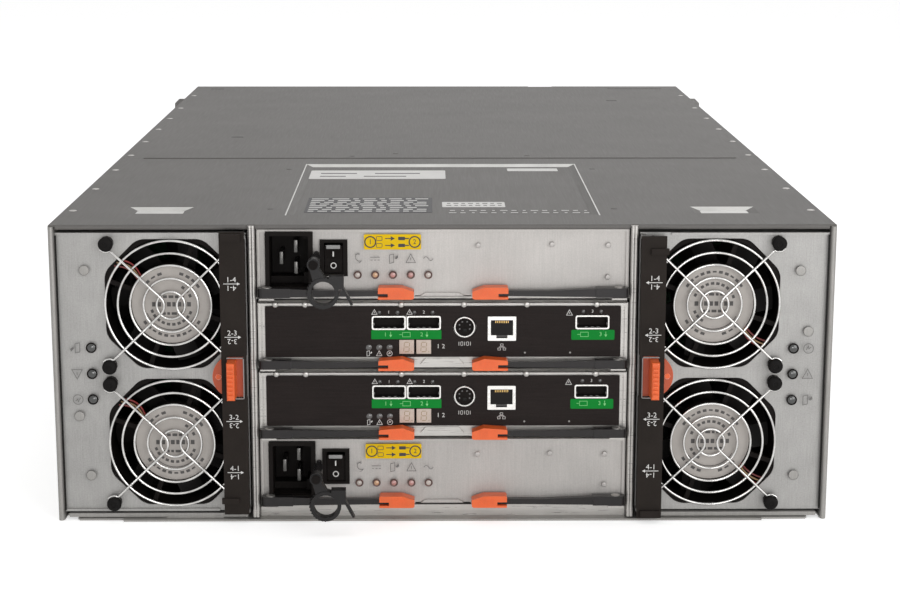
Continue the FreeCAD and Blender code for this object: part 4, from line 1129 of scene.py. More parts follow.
def dress(node: str, finish: Finish) -> None:
    """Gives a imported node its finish.

    Args:
        node: the node's name.
        finish: its finish.
    """
    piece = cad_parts[node]
    material = finish.material()
    if piece.material_slots:
        for slot in piece.material_slots:
            slot.material = material
    else:
        piece.data.materials.append(material)
    LOG.info("%s: finish %s", node, finish.name)


def middle_of(node: str) -> Vector:
    """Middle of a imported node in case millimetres."""
    return (low(node) + high(node)) / 2


# ---- fan modules
@dataclass
class FanModule:
    """One fan module; it is drawn for the right bay, and the left one is the same turned half round."""

    side: str
    holes: float = 71.5
    wire: float = 0.72
    ring_radii: tuple[float, ...] = (37.4, 30.2, 23.2, 15.6, 8.0)
    ring_y: float = 1.15
    spoke_y: float = -0.45
    bend: float = 3.6
    bend_radius: float = 7.0
    curl: float = 4.5
    hub: float = 23.2
    hub_y: float = 4.2
    lamp_x: float = 201.8
    lamp_zs: tuple[float, ...] = (102.0, 86.8, 71.4)
    sign_x: float = 210.4
    panel_y: float = 2.0
    strip_y: float = -8.4
    strip_x: float = 119.6
    strip_print: tuple[tuple[float, str, str], ...] = ((142.9, "1-4", "4-1"), (112.4, "2-3", "3-2"),
                                                       (62.9, "3-2", "2-3"), (32.0, "4-1", "1-4"))
    plug_profile: tuple[Point, ...] = ((0, -0.4), (4.0, -0.4), (4.25, 0.3), (3.9, 1.2), (3.0, 1.8),
                                       (1.6, 2.05), (1.3, 1.7), (0, 1.6))
    plug_y: float = -1.6
    label_arcs: tuple[tuple[float, int, int, int], ...] = (
        (18.6, 35, 150, 11), (11.8, 20, 160, 15), (11.8, 205, 250, 15), (18.6, 215, 262, 12),
        (18.6, 290, 325, 13))
    label_rows: tuple[tuple[float, float, tuple[float, ...]], ...] = (
        (5.4, 1.5, (2.0, 3.0, 1.6, 2.4)), (0.0, 2.6, (2.2, 1.5, 2.4, 1.8, 2.2, 1.5, 2.4, 1.9)),
        (-4.4, 1.6, (2.6, 1.8, 2.8, 2.2, 1.8)))
    word_gap: float = 0.9
    latch_x: float = 119.3
    latch_disc: float = 12.6
    latch_plates: tuple[Point, ...] = ((114.5, 118.1), (122.9, 126.6))
    latch_face: float = 13.7
    plate_half: float = 11.7
    pin_x: float = 128.6
    pin_profile: tuple[Point, ...] = ((0, -0.1), (1.7, -0.1), (1.7, 0.09), (0, 0.09))
    rib_count: int = 7
    rib_step: float = 2.5
    rib_place: Point = (120.5, -20.05)
    rib_size: Spot = (3.4, 0.5, 0.9)
    window_x: Point = (113.6, 123.5)
    window_half: float = 12.15
    window_y: Point = (-8.2, -7.0)
    rim: float = 0.5
    skin: float = 0.06
    dimple_spots: tuple[Point, ...] = ((204.4, 147.6), (204.4, 26.2), (210.0, 112.0))

    def __post_init__(self) -> None:
        """Reads the fans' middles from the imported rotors."""
        one = middle_of("fan_rotor_right_low")
        two = middle_of("fan_rotor_right_high")
        self.fan_x = one.x
        self.fan_zs = (one.z, two.z)
        self.mid_z = (one.z + two.z) / 2
        self.body = "fan_module_" + self.side

    def place(self, shape: Shape) -> Shape:
        """Turns a shape that was drawn for the right bay into this module's bay.

        Args:
            shape: the shape.

        Returns:
            The same shape.
        """
        if self.side == "left":
            shape.verts = [self.spot(v) for v in shape.verts]
        return shape

    def spot(self, point: Spot) -> Spot:
        """A point drawn for the right bay, in this module's bay.

        Args:
            point: the point in case millimetres.

        Returns:
            The point, given a half turn about the case's middle line for the left module.
        """
        if self.side == "right":
            return tuple(point)
        return (-point[0], point[1], 2 * self.mid_z - point[2])

    def build(self, repeats: Repeats) -> None:
        """Dresses the module's nodes and adds its wires, lamps, labels and signs.

        Args:
            repeats: the trees of what repeats.
        """
        dress("fan_case_" + self.side, FAN_ZINC)
        dress("fan_frames_" + self.side, BLACK_PLASTIC)
        dress("fan_handle_" + self.side, STRIP_PLASTIC)
        dress("fan_latch_" + self.side, ORANGE)
        for level in ("low", "high"):
            dress("fan_rotor_" + self.side + "_" + level, ROTOR_PLASTIC)
        self._guards(repeats)
        self._hub_labels(repeats)
        self._leads()
        self._lamps()
        self._strip()
        self._latch(repeats)
        self._dimples(repeats)

    def _plugs(self) -> list[Point]:
        """Places of the eight rubber plugs."""
        half, signs = self.holes / 2, (-1, 1)
        return [(self.fan_x + sx * half, z + sz * half) for z in self.fan_zs for sx in signs for sz in signs]

    def _guards(self, repeats: Repeats) -> None:
        """Adds the guards' rings, their bent wires and the plugs that hold them.

        Args:
            repeats: the trees of what repeats.
        """
        rings = [self.spot((self.fan_x, self.ring_y, z)) for z in self.fan_zs for _ in self.ring_radii]
        radii = [r * MM for _ in self.fan_zs for r in self.ring_radii]
        piece = repeats.run("guard_rings_" + self.side, repeats.rings, rings, self.body,
                            CHROME, {"Wire": self.wire * MM}, {"radius": radii})
        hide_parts("fan_guards_" + self.side)
        wires = Shape()
        half = self.holes / 2
        for z in self.fan_zs:
            for sx in (-1, 1):
                wires.tube(self._bent_wire(z, sx, half), self.wire, CHROME, sides=10)
        piece = self.place(wires).finish("guard_wires_" + self.side, self.body, "bright_wire", sharp=50)
        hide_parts("fan_guards_" + self.side)
        plugs = Shape()
        for x, z in self._plugs():
            plugs.turned(self.plug_profile, (x, self.plug_y, z), RUBBER, sides=20)
        self.place(plugs).finish("guard_plugs_" + self.side, self.body, "black_plastic", sharp=40)

    def _bent_wire(self, z: float, sx: int, half: float) -> list[Spot]:
        """Middle line of one bent guard wire, with a small curl at each of its two plugs.

        Args:
            z: height of the fan's middle.
            sx: which side of the fan it stands on.
            half: half of the distance between plugs.

        Returns:
            The points of the line.
        """
        middle = self.fan_x + sx * (self.bend + self.bend_radius)
        ends: list[list[Point]] = []
        for sz in (1, -1):
            plug = (self.fan_x + sx * half, z + sz * half)
            heading = math.degrees(math.atan2(-sz, -sx))
            ends.append(arc(plug, self.curl, heading + sz * sx * 95, heading + sz * sx * 14, 8))
        round_bend = [(middle - sx * self.bend_radius * math.cos(math.radians(turn)),
                       z + self.bend_radius * math.sin(math.radians(turn))) for turn in range(44, -45, -11)]
        return [(p[0], self.spoke_y, p[1]) for p in ends[0] + round_bend + ends[1][::-1]]

    def _hub_labels(self, repeats: Repeats) -> None:
        """Adds the round labels on the fans' motors, with plain rings and lines of print.

        Args:
            repeats: the trees of what repeats.
        """
        labels = Shape()
        y = (self.hub_y - 0.12, self.hub_y)
        for z in self.fan_zs:
            labels.plate(circle((self.fan_x, z), self.hub - 0.5, 48), y, HUB_LABEL)
            for start, end in ((20, 150), (215, 330)):
                labels.stroke(arc((self.fan_x, z), 15.0, start, end, 30), 0.4,
                              (self.hub_y - 0.17, self.hub_y - 0.1), HUB_INK)
        self.place(labels).finish("hub_labels_" + self.side, self.body, "bright_steel")
        marks: list[tuple[Spot, Spot, float]] = []
        for z in self.fan_zs:
            for radius, start, end, step in self.label_arcs:
                for turn in range(start, end, step):
                    a = math.radians(turn)
                    tall = 1.6 if (turn * 7) % 3 else 1.0
                    spot = (self.fan_x + radius * math.cos(a), self.hub_y - 0.14, z + radius * math.sin(a))
                    marks.append((spot, (radius * math.radians(step) * 0.62, 0.08, tall), 90.0 - turn))
            for row, tall, widths in self.label_rows:
                x = self.fan_x - sum(widths) / 2 - self.word_gap / 2 * (len(widths) - 1)
                for wide in widths:
                    marks.append(((x + wide / 2, self.hub_y - 0.14, z + row), (wide, 0.08, tall), 0.0))
                    x += wide + self.word_gap
        placed = [(self.spot(m[0]), m[1], m[2] + (180.0 if self.side == "left" else 0.0)) for m in marks]
        repeats.lines("hub_print_" + self.side, placed, self.body, "bright_steel", HUB_INK)

    def _leads(self) -> None:
        """Adds each motor's thin leads from the hub to the corner of its frame."""
        leads = Shape()
        for z in self.fan_zs:
            for k, finish in enumerate((RED_WIRE, TAN_WIRE, ROSE_WIRE)):
                path: list[Spot] = []
                for step in range(13):
                    t = step / 12
                    r = 21.5 + 17.5 * t
                    a = math.radians(-42 + 3.4 * k - 4.0 * math.sin(t * math.pi))
                    path.append((self.fan_x + r * math.cos(a), 4.6 + 2.6 * math.sin(t * math.pi) - 0.6 * t,
                                 z + r * math.sin(a)))
                leads.tube(path, 0.5, finish, sides=8)
        self.place(leads).finish("motor_leads_" + self.side, self.body, "black_plastic", sharp=60)

    def _lamps(self) -> None:
        """Adds the three round lamps and the signs beside them."""
        lamps = Shape()
        for z in self.lamp_zs:
            spot = (self.lamp_x, self.panel_y, z)
            lamps.turned([(3.05, -0.5), (3.05, 0.25), (2.7, 0.35), (2.35, 0.1), (2.35, -0.5)], spot,
                         BLACK_PLASTIC)
            lamps.turned([(0, -0.4), (2.35, -0.4), (2.3, 0.05), (1.6, 0.45), (0, 0.6)], spot, DARK_LENS)
        self.place(lamps).finish("module_lamps_" + self.side, self.body, "black_plastic")
        signs = Print(Shape(), self.panel_y, GREY_INK)
        for z, sign in zip(self.lamp_zs, (Sign.POWER, Sign.FAULT, Sign.TAKE_OUT)):
            signs.draw(sign, (self.sign_x, z), 6.0)
        self.place(signs.shape).finish("module_signs_" + self.side, self.body, "bright_steel")

    def _strip(self) -> None:
        """Adds the plain numbers and the arrows on the black strip."""
        marks = Print(Shape(), self.strip_y, WHITE_INK, line=0.4)
        y = (self.strip_y - 0.06, self.strip_y + 0.02)
        for z, upper, under in self.strip_print:
            marks.arrow((self.strip_x + 4.6, z), (self.strip_x - 4.8, z), 1.7)
            marks.shape.text(upper, (self.strip_x + 0.2, z + 2.3), 3.1, y, WHITE_INK)
            marks.shape.text(under, (self.strip_x + 0.2, z - 2.3), 3.1, y, WHITE_INK, turn=180)
        handle = "fan_handle_" + self.side
        self.place(marks.shape).finish("strip_marks_" + self.side, handle, "strip_plastic")

    def _latch(self, repeats: Repeats) -> None:
        """Adds the latch's plates in a darker orange of painted shade, the rim of its window and the ribs of
        its tab.

        Args:
            repeats: the trees of what repeats.
        """
        latch = "fan_latch_" + self.side
        face = low(latch).y + self.latch_face
        y = (face - self.skin, face)
        skin = Shape()
        # Painted shade: the slider plate beside the tab is drawn in darker orange.
        for x in self.latch_plates:
            skin.block(x, y, (self.mid_z - self.plate_half, self.mid_z + self.plate_half), SHADED_ORANGE)
        edge = [(self.latch_plates[1][1], self.mid_z - 10.2)]
        skin.plate(edge + arc((self.latch_x, self.mid_z), self.latch_disc, -54, 54, 16), y, SHADED_ORANGE)
        skin.turned(self.pin_profile, (self.pin_x, face, self.mid_z), WHITE_TAG, sides=16)
        self.place(skin).finish("latch_plate_" + self.side, latch, "release_orange")
        rim = Shape()
        half, y = self.window_half, self.window_y
        for z in (self.mid_z - half, self.mid_z + half - self.rim):
            rim.block(self.window_x, y, (z, z + self.rim), GREY_TAG)
        side_x = (self.window_x[0], self.window_x[0] + self.rim)
        rim.block(side_x, y, (self.mid_z - half, self.mid_z + half), GREY_TAG)
        self.place(rim).finish("window_rim_" + self.side, "fan_handle_" + self.side, "strip_plastic")
        first = self.mid_z - self.rib_step * (self.rib_count - 1) / 2
        ribs = [(self.spot((*self.rib_place, first + self.rib_step * k)), self.rib_size, 0.0)
                for k in range(self.rib_count)]
        repeats.lines("latch_ribs_" + self.side, ribs, latch, "release_orange", ORANGE)

    def _dimples(self, repeats: Repeats) -> None:
        """Adds the round press marks on the sheet and a thin dark strip of painted shade along its outer
        edge, where the gap to the case wall lies in shadow.

        Args:
            repeats: the trees of what repeats.
        """
        dimples = [self.spot((x, self.panel_y, z)) for x, z in self.dimple_spots]
        repeats.rivets("press_marks_" + self.side, dimples, (0, -1, 0), 3.0, 0.08, self.body, "bright_steel",
                       TRAY_STEEL)
        # Painted shade: a thin dark sheet stands for the shadow in the gap beside the case wall.
        shade = Shape()
        outer = high("fan_case_right").x
        tall = (low("fan_case_right").z + 1.0, high("fan_case_right").z - 1.0)
        shade.block((outer - 1.2, outer - 0.1), (self.panel_y - 0.1, self.panel_y), tall, ROTOR_PLASTIC)
        self.place(shade).finish("edge_shade_" + self.side, self.body, "bright_steel")


# ---- power supplies
@dataclass
class PowerSupply:
    """One power supply with its inlet, rocker switch, cable clip, lamps and sign row."""

    name: str
    lamp_xs: tuple[float, ...] = (-48.7, -38.7, -28.6, -18.4, -8.4)
    lamp_rise: float = 13.5
    sign_rise: float = 22.9
    tag_x: Point = (-45.0, -12.5)
    tag_z: Point = (28.2, 37.0)
    panel_y: float = 2.0
    tag_skin: float = 0.12
    tag_ring_x: float = 12.6
    ink_skin: float = 0.06
    blades: tuple[Point, ...] = ((-92.4, 22.3), (-84.1, 29.1), (-84.1, 16.5))
    blade_size: Point = (2.1, 7.3)
    shroud_x: float = -74.1
    shroud_z: Point = (4.6, 38.6)
    mouth_edge: float = 4.9
    mouth_height: float = 29.6
    rocker_x: float = -62.3
    rocker_rise: float = 23.2
    ring_middle: Point = (-66.8, 9.3)
    ring_radius: float = 8.9
    post: Point = (-72.1, 25.5)
    press_spots: tuple[Point, ...] = ((20.0, 30.5), (62.0, 31.0), (94.0, 30.5), (94.0, 12.0))

    def __post_init__(self) -> None:
        """Reads the supply's underside from its imported case node."""
        self.base = low("psu_case_" + self.name).z
        self.body = "psu_" + self.name

    def build(self, repeats: Repeats) -> None:
        """Dresses the supply's nodes and adds its details.

        Args:
            repeats: the trees of what repeats.
        """
        dress("psu_case_" + self.name, PSU_ZINC)
        dress("psu_inlet_" + self.name, BLACK_PLASTIC)
        dress("psu_rocker_" + self.name, BLACK_PLASTIC)
        dress("cord_clip_" + self.name, NYLON)
        self._lamps()
        self._signs()
        self._tag()
        self._inlet()
        self._rocker()
        self._clip(repeats)
        self._press_marks(repeats)

    def _lamps(self) -> None:
        """Adds the five lamps, each a lens in a dark rim."""
        lamps = Shape()
        lenses = (MILK_LENS, AMBER_LENS, ROSE_LENS, ROSE_LENS, MILK_LENS)
        for x, lens in zip(self.lamp_xs, lenses):
            spot = (x, self.panel_y, self.base + self.lamp_rise)
            lamps.turned([(2.35, -0.2), (2.35, 0.2), (2.1, 0.4), (1.55, 0.3), (1.45, -0.2)], spot, LED_RIM)
            lamps.turned([(0, -0.2), (1.45, -0.2), (1.4, 0.2), (0.9, 0.45), (0, 0.55)], spot, lens, sides=20)
        lamps.finish("supply_lamps_" + self.name, self.body, "bright_steel")

    def _signs(self) -> None:
        """Adds the row of signs over the lamps."""
        z = self.base + self.sign_rise
        signs = Print(Shape(), self.panel_y, GREY_INK, line=0.32)
        row = (Sign.MOON, Sign.DIRECT, Sign.TAKE_OUT, Sign.FAULT, Sign.MAINS)
        for x, sign in zip(self.lamp_xs, row):
            signs.draw(sign, (x, z), 5.4)
        signs.shape.finish("supply_signs_" + self.name, self.body, "bright_steel")

    def _tag(self) -> None:
        """Adds the plain yellow tag with its arrows and two ringed numbers."""
        tag = Shape()
        x, z = (self.tag_x[0] + self.tag_x[1]) / 2, self.base + (self.tag_z[0] + self.tag_z[1]) / 2
        face = self.panel_y - self.tag_skin
        outline = oblong((x, z), self.tag_x[1] - self.tag_x[0], self.tag_z[1] - self.tag_z[0], 0.8)
        tag.plate(outline, (face, self.panel_y), YELLOW_TAG)
        tag.finish("supply_tag_" + self.name, self.body, "bright_steel")
        marks = Print(Shape(), face, INK, line=0.5)
        ink_y = (face - self.ink_skin, face)
        for line_z in (z + 2.0, z - 2.0):
            marks.shape.stroke(oblong((x - 7.5, line_z), 3.2, 2.2, 0.4), 0.3, ink_y, INK, closed=True)
            marks.arrow((x - 4.2, line_z), (x + 1.4, line_z), 2.4)
            marks.shape.plate(oblong((x + 5.2, line_z), 3.9, 1.9, 0.4), ink_y, INK)
            marks.shape.stroke([(x + 7.2, line_z), (x + 9.4, line_z)], 0.6, ink_y, INK)
        for number, ring_x in (("1", x - self.tag_ring_x), ("2", x + self.tag_ring_x)):
            marks.shape.stroke(circle((ring_x, z), 3.1, 24), 0.7, ink_y, INK, closed=True)
            marks.shape.text(number, (ring_x, z), 2.8, ink_y, INK)
        marks.shape.finish("supply_tag_marks_" + self.name, self.body, "bright_steel")

    def _inlet(self) -> None:
        """Adds the metal blades, in steel darkened by painted shade since they stand deep in the inlet, and
        the rim round the inlet.
        """
        inlet = Shape()
        x0, x1 = low("psu_inlet_" + self.name).x, self.shroud_x
        z0, z1 = self.base + self.shroud_z[0], self.base + self.shroud_z[1]
        middle = ((x0 + x1) / 2, (z0 + z1) / 2)
        mouth = oblong(middle, x1 - x0 - self.mouth_edge, self.mouth_height, 0.8)
        inlet.plate(oblong(middle, x1 - x0, z1 - z0, 1.0), (0.1, 0.9), BLACK_PLASTIC, [mouth])
        half_x, half_z = self.blade_size[0] / 2, self.blade_size[1] / 2
        # Painted shade: the blades are dark steel because they lie deep in the inlet's shadow.
        for x, rise in self.blades:
            z = self.base + rise
            inlet.block((x - half_x, x + half_x), (7.9, 22.0), (z - half_z, z + half_z), SHADED_STEEL,
                        edge=0.5)
        inlet.finish("inlet_blades_" + self.name, self.body, "black_plastic")

    def _rocker(self) -> None:
        """Adds the rocker's ON and OFF marks and its pale upper face."""
        marks = Shape()
        x, z = self.rocker_x, self.base + self.rocker_rise
        marks.block((x - 3.9, x + 3.9), (-1.9, -1.3), (z + 6.1, z + 8.2), GREY_TAG, edge=0.2)
        marks.block((x - 0.35, x + 0.35), (-1.2, -0.2), (z + 1.6, z + 4.4), WHITE_INK)
        ring = circle((x, z - 4.0), 1.5, 20)
        marks.stroke(ring, 0.5, (0.8, 1.3), WHITE_INK, closed=True)
        marks.finish("rocker_marks_" + self.name, "psu_rocker_" + self.name, "black_plastic")

    def _clip(self, repeats: Repeats) -> None:
        """Adds the ratchet teeth of the cord clip and the rings of its post.

        Args:
            repeats: the trees of what repeats.
        """
        corner = low("cord_clip_" + self.name)
        middle = (self.ring_middle[0], self.base + self.ring_middle[1])
        teeth: list[tuple[Spot, Spot, float]] = []
        for k in range(15):
            turn = 100 + 12 * k
            a = math.radians(turn)
            spot = (middle[0] + self.ring_radius * math.cos(a), corner.y + 3.3,
                    middle[1] + self.ring_radius * math.sin(a))
            teeth.append((spot, (0.7, 4.6, 0.9), 45.0 - turn))
        repeats.lines("clip_teeth_" + self.name, teeth, "cord_clip_" + self.name, "black_plastic", NYLON)
        rings = [((self.post[0], -2.5 - 2.4 * k, self.base + self.post[1]), (3.7, 0.9, 3.7), 45.0)
                 for k in range(9)]
        repeats.lines("post_rings_" + self.name, rings, self.body, "black_plastic", NYLON)

    def _press_marks(self, repeats: Repeats) -> None:
        """Adds the small round press marks on the panel's right half.

        Args:
            repeats: the trees of what repeats.
        """
        spots = [(x, self.panel_y, self.base + z) for x, z in self.press_spots]
        repeats.rivets("panel_press_marks_" + self.name, spots, (0, -1, 0), 1.5, 0.18, self.body,
                       "bright_steel", PSU_ZINC)


# ---- controllers
@dataclass
class Controller:
    """One controller with its black panel, ports, tags, lamps and two-figure display."""

    name: str
    cages: tuple[Point, ...] = ((-31.1, 26.9), (-11.0, 26.9), (85.6, 27.1))
    cage_size: Point = (19.2, 7.8)
    cage_play: float = 0.5
    jack: Point = (33.75, 23.5)
    socket: Point = (12.4, 24.4)
    figures: tuple[float, ...] = (-20.9, -11.1)
    figure_z: Point = (8.6, 16.9)
    lamp_xs: tuple[float, ...] = (-42.6, -36.7, -30.7)
    lamp_rise: float = 12.4
    panel_y: float = 2.0
    skin: float = 0.35
    bump_xs: tuple[float, ...] = (-96, -79, -24, 12, 48, 88)

    def __post_init__(self) -> None:
        """Reads the controller's underside and height from its imported case node."""
        self.base = low("sbb_case_" + self.name).z
        self.top = high("sbb_case_" + self.name).z
        self.body = "sbb_" + self.name
        self.face = self.panel_y - self.skin

    def build(self, repeats: Repeats) -> None:
        """Dresses the controller's nodes and adds its details.

        Args:
            repeats: the trees of what repeats.
        """
        dress("sbb_case_" + self.name, TRIM_STEEL)
        # Painted shade: the ports' insides are nearly black metal, standing in for their shadow.
        dress("sbb_ports_" + self.name, PORT_SHADE_METAL)
        self._panel()
        self._cages()
        self._jack(repeats)
        self._socket(repeats)
        self._display(repeats)
        self._lamps()
        self._tags()
        self._bumps(repeats)

    def _panel(self) -> None:
        """Adds the painted panel, open round every port."""
        z = self.base
        left, right, lone = self.cages
        hole_w, hole_h = self.cage_size[0] + self.cage_play, self.cage_size[1] + self.cage_play
        holes = [oblong((lone[0], z + lone[1]), hole_w, hole_h, 0.8)]
        holes.append(oblong(((left[0] + right[0]) / 2, z + left[1]), right[0] - left[0] + hole_w, hole_h,
                            0.8))
        holes.append(oblong((self.jack[0], z + self.jack[1]), 16.6, 14.6, 0.4))
        holes.append(circle((self.socket[0], z + self.socket[1]), 6.6, 32))
        mid = (self.figures[0] + self.figures[1]) / 2
        holes.append(oblong((mid, z + sum(self.figure_z) / 2), 19.0, 8.6, 0.3))
        for x, rise in self._lamp_holes():
            holes.append(circle((x, z + rise), 1.25, 12))
        panel = Shape()
        panel.plate(oblong((0, z + 21.7), 203.6, 29.8, 0.6), (self.face, self.panel_y), BLACK_PAINT, holes)
        panel.finish("panel_" + self.name, self.body, "port_metal")

    def _lamp_holes(self) -> list[Point]:
        """Places of the small lamp holes over the cages."""
        spots = [(x + dx, rise + 6.0) for x, rise in self.cages[:2] for dx in (-5.4, 5.0)]
        return spots + [(self.cages[2][0] + dx, self.cages[2][1] + 6.2) for dx in (-5.2, 5.0)]

    def _cages(self) -> None:
        """Adds the bright lips, latching tabs in steel darkened by painted shade, and dark lamp holes of the
        data ports.
        """
        metal = Shape()
        w, h = self.cage_size
        for x, rise in self.cages:
            z = self.base + rise
            metal.plate(oblong((x, z), w + 0.2, h + 0.3, 1.2), (self.face - 0.45, self.panel_y - 0.2), SILVER,
                        [oblong((x, z), w - 1.3, h - 1.3, 0.9)])
            tab_y, tab_z = (self.face + 0.3, 3.2), (z - h / 2 + 0.8, z - h / 2 + 1.3)
            for dx in (-3.4, 0.0, 3.4):
                metal.block((x + dx - 0.8, x + dx + 0.8), tab_y, tab_z, SHADED_STEEL, edge=0.12)
            for sx in (-1, 1):
                metal.block((x + sx * (w / 2 - 0.7), x + sx * (w / 2 - 1.4)), (self.face + 0.3, 3.4),
                            (z - 1.6, z - 0.4), SHADED_STEEL, edge=0.12)
        metal.finish("cage_lips_" + self.name, self.body, "port_metal")
        dark = Shape()
        for x, rise in self.cages:
            z = self.base + rise
            dark.block((x - 8.1, x + 8.1), (6.2, 6.6), (z - 2.8, z + 2.8), BLACK_PLASTIC)
        for x, rise in self._lamp_holes():
            dark.turned([(0, -1.4), (1.2, -1.4), (1.2, -0.9), (0.6, -0.6), (0, -0.5)],
                        (x, self.panel_y - 0.6, self.base + rise), SMOKE_LENS, sides=12)
        dark.finish("port_depths_" + self.name, self.body, "port_metal")

    def _jack(self, repeats: Repeats) -> None:
        """Adds the network jack's shield, its spring tabs, dark inside and eight contacts.

        Args:
            repeats: the trees of what repeats.
        """
        x, z = self.jack[0], self.base + self.jack[1]
        jack = Shape()
        half = [(3.2, -5.6), (3.2, -3.9), (6.4, -3.9), (6.4, 5.0)]
        mouth = [(x + dx, z + dz) for dx, dz in half] + [(x - dx, z + dz) for dx, dz in reversed(half)]
        jack.plate(oblong((x, z), 16.2, 14.2, 0.5), (self.face - 0.65, self.panel_y - 0.9), SILVER, [mouth])
        for k in range(3):
            for sx in (-1, 1):
                jack.block((x + sx * 6.9, x + sx * 7.7), (self.face - 0.85, self.face - 0.6),
                           (z - 3.4 + 2.9 * k, z - 1.9 + 2.9 * k), BRIGHT_STEEL, edge=0.2)
        y = self.panel_y
        jack.block((x - 6.5, x + 6.5), (y - 0.8, y - 0.3), (z - 5.7, z + 5.1), ROTOR_PLASTIC)
        # Painted shade: a strip of darkened steel at the foot of the jack's mouth.
        jack.block((x - 4.6, x + 4.6), (y - 0.95, y - 0.7), (z - 4.6, z - 4.1), SHADED_STEEL)
        jack.finish("jack_shield_" + self.name, self.body, "port_metal")
        pins = [((x - 3.57 + 1.02 * k, self.panel_y - 0.8, z + 4.0), (0.35, 0.3, 1.3), 0.0) for k in range(8)]
        repeats.lines("jack_contacts_" + self.name, pins, self.body, "port_metal", GOLD)

    def _socket(self, repeats: Repeats) -> None:
        """Adds the round socket's shell, face and pin holes.

        Args:
            repeats: the trees of what repeats.
        """
        x, z = self.socket[0], self.base + self.socket[1]
        shell = Shape()
        ring = [(5.3, -1.0), (5.3, 0.7), (5.5, 0.85), (5.9, 0.85), (6.1, 0.6), (6.1, -1.0)]
        shell.turned(ring, (x, self.face, z), SILVER, sides=36)
        shell.turned([(0, -0.4), (4.9, -0.4), (4.9, 0.3), (0, 0.3)], (x, 2.6, z), BLACK_PLASTIC, sides=32)
        shell.block((x - 1.1, x + 1.1), (1.9, 2.6), (z - 3.0, z - 1.2), ROTOR_PLASTIC, edge=0.2)
        shell.block((x - 0.9, x + 0.9), (1.2, 2.6), (z + 3.4, z + 4.9), BLACK_PLASTIC, edge=0.2)
        shell.finish("socket_shell_" + self.name, self.body, "port_metal")
        pins = [(x + 3.2 * math.cos(math.radians(a)), 2.3, z + 3.2 * math.sin(math.radians(a)))
                for a in (20, 65, 115, 160, 205, 335)]
        repeats.rivets("socket_pins_" + self.name, pins, (0, -1, 0), 0.6, 0.35, self.body, "port_metal",
                       SMOKE_LENS)

    def _display(self, repeats: Repeats) -> None:
        """Adds the two pale display figures with their unlit bars.

        Args:
            repeats: the trees of what repeats.
        """
        face = Shape()
        z0, z1 = self.base + self.figure_z[0], self.base + self.figure_z[1]
        bars: list[tuple[Spot, Spot, float]] = []
        for x in self.figures:
            face.block((x - 4.25, x + 4.25), (self.face - 0.25, 4.0), (z0 + 0.05, z1 - 0.05), DIGIT_FACE,
                       edge=0.25)
            face.block((x - 4.7, x + 4.7), (self.face + 0.3, 3.9), (z0 - 0.15, z1 + 0.15), BLACK_PLASTIC)
            mid = (z0 + z1) / 2
            y = self.face - 0.26
            for dz in (-2.8, 0.0, 2.8):
                bars.append(((x, y, mid + dz), (2.3, 0.06, 0.5), 0.0))
            for sx in (-1, 1):
                for dz in (-1.4, 1.4):
                    bars.append(((x + sx * 1.5 + dz * 0.08, y, mid + dz), (0.45, 0.06, 2.2), 4.0))
            bars.append(((x + 2.9, y, mid - 2.8), (0.5, 0.06, 0.5), 0.0))
        face.finish("display_faces_" + self.name, self.body, "port_metal")
        repeats.lines("display_bars_" + self.name, bars, self.body, "port_metal", DIGIT_BAR)

    def _lamps(self) -> None:
        """Adds the three panel lamps and all printed signs."""
        lamps = Shape()
        for x in self.lamp_xs:
            lamps.turned([(0, -0.3), (1.75, -0.3), (1.7, 0.1), (1.1, 0.35), (0, 0.45)],
                         (x, self.face, self.base + self.lamp_rise), SMOKE_LENS, sides=20)
        lamps.finish("panel_lamps_" + self.name, self.body, "port_metal")
        signs = Print(Shape(), self.face, WHITE_INK, line=0.28)
        for x, sign in zip(self.lamp_xs, (Sign.TAKE_OUT, Sign.FAULT, Sign.POWER)):
            signs.draw(sign, (x, self.base + 8.9), 3.2)
        for x, rise in self.cages[:2]:
            signs.draw(Sign.FAULT, (x - 8.2, self.base + rise + 6.3), 3.0)
        signs.draw(Sign.FAULT, (self.cages[2][0] - 13.2, self.base + self.cages[2][1] + 5.6), 3.4)
        signs.draw(Sign.NETWORK, (self.jack[0], self.base + 12.6), 4.0)
        signs.draw(Sign.SERIAL, (self.socket[0], self.base + 14.6), 4.4)
        y = (self.face - 0.06, self.face + 0.02)
        for x, word in ((-2.8, "1"), (0.2, "2")):
            signs.shape.text(word, (x, self.base + 13.0), 2.6, y, WHITE_INK)
        for x, rise in self.cages[:2]:
            signs.shape.text("1" if x < -20 else "2", (x, self.base + rise + 6.2), 1.8, y, WHITE_INK)
        signs.shape.text("3", (self.cages[2][0], self.base + self.cages[2][1] + 6.4), 1.8, y, WHITE_INK)
        signs.shape.finish("panel_signs_" + self.name, self.body, "port_metal")

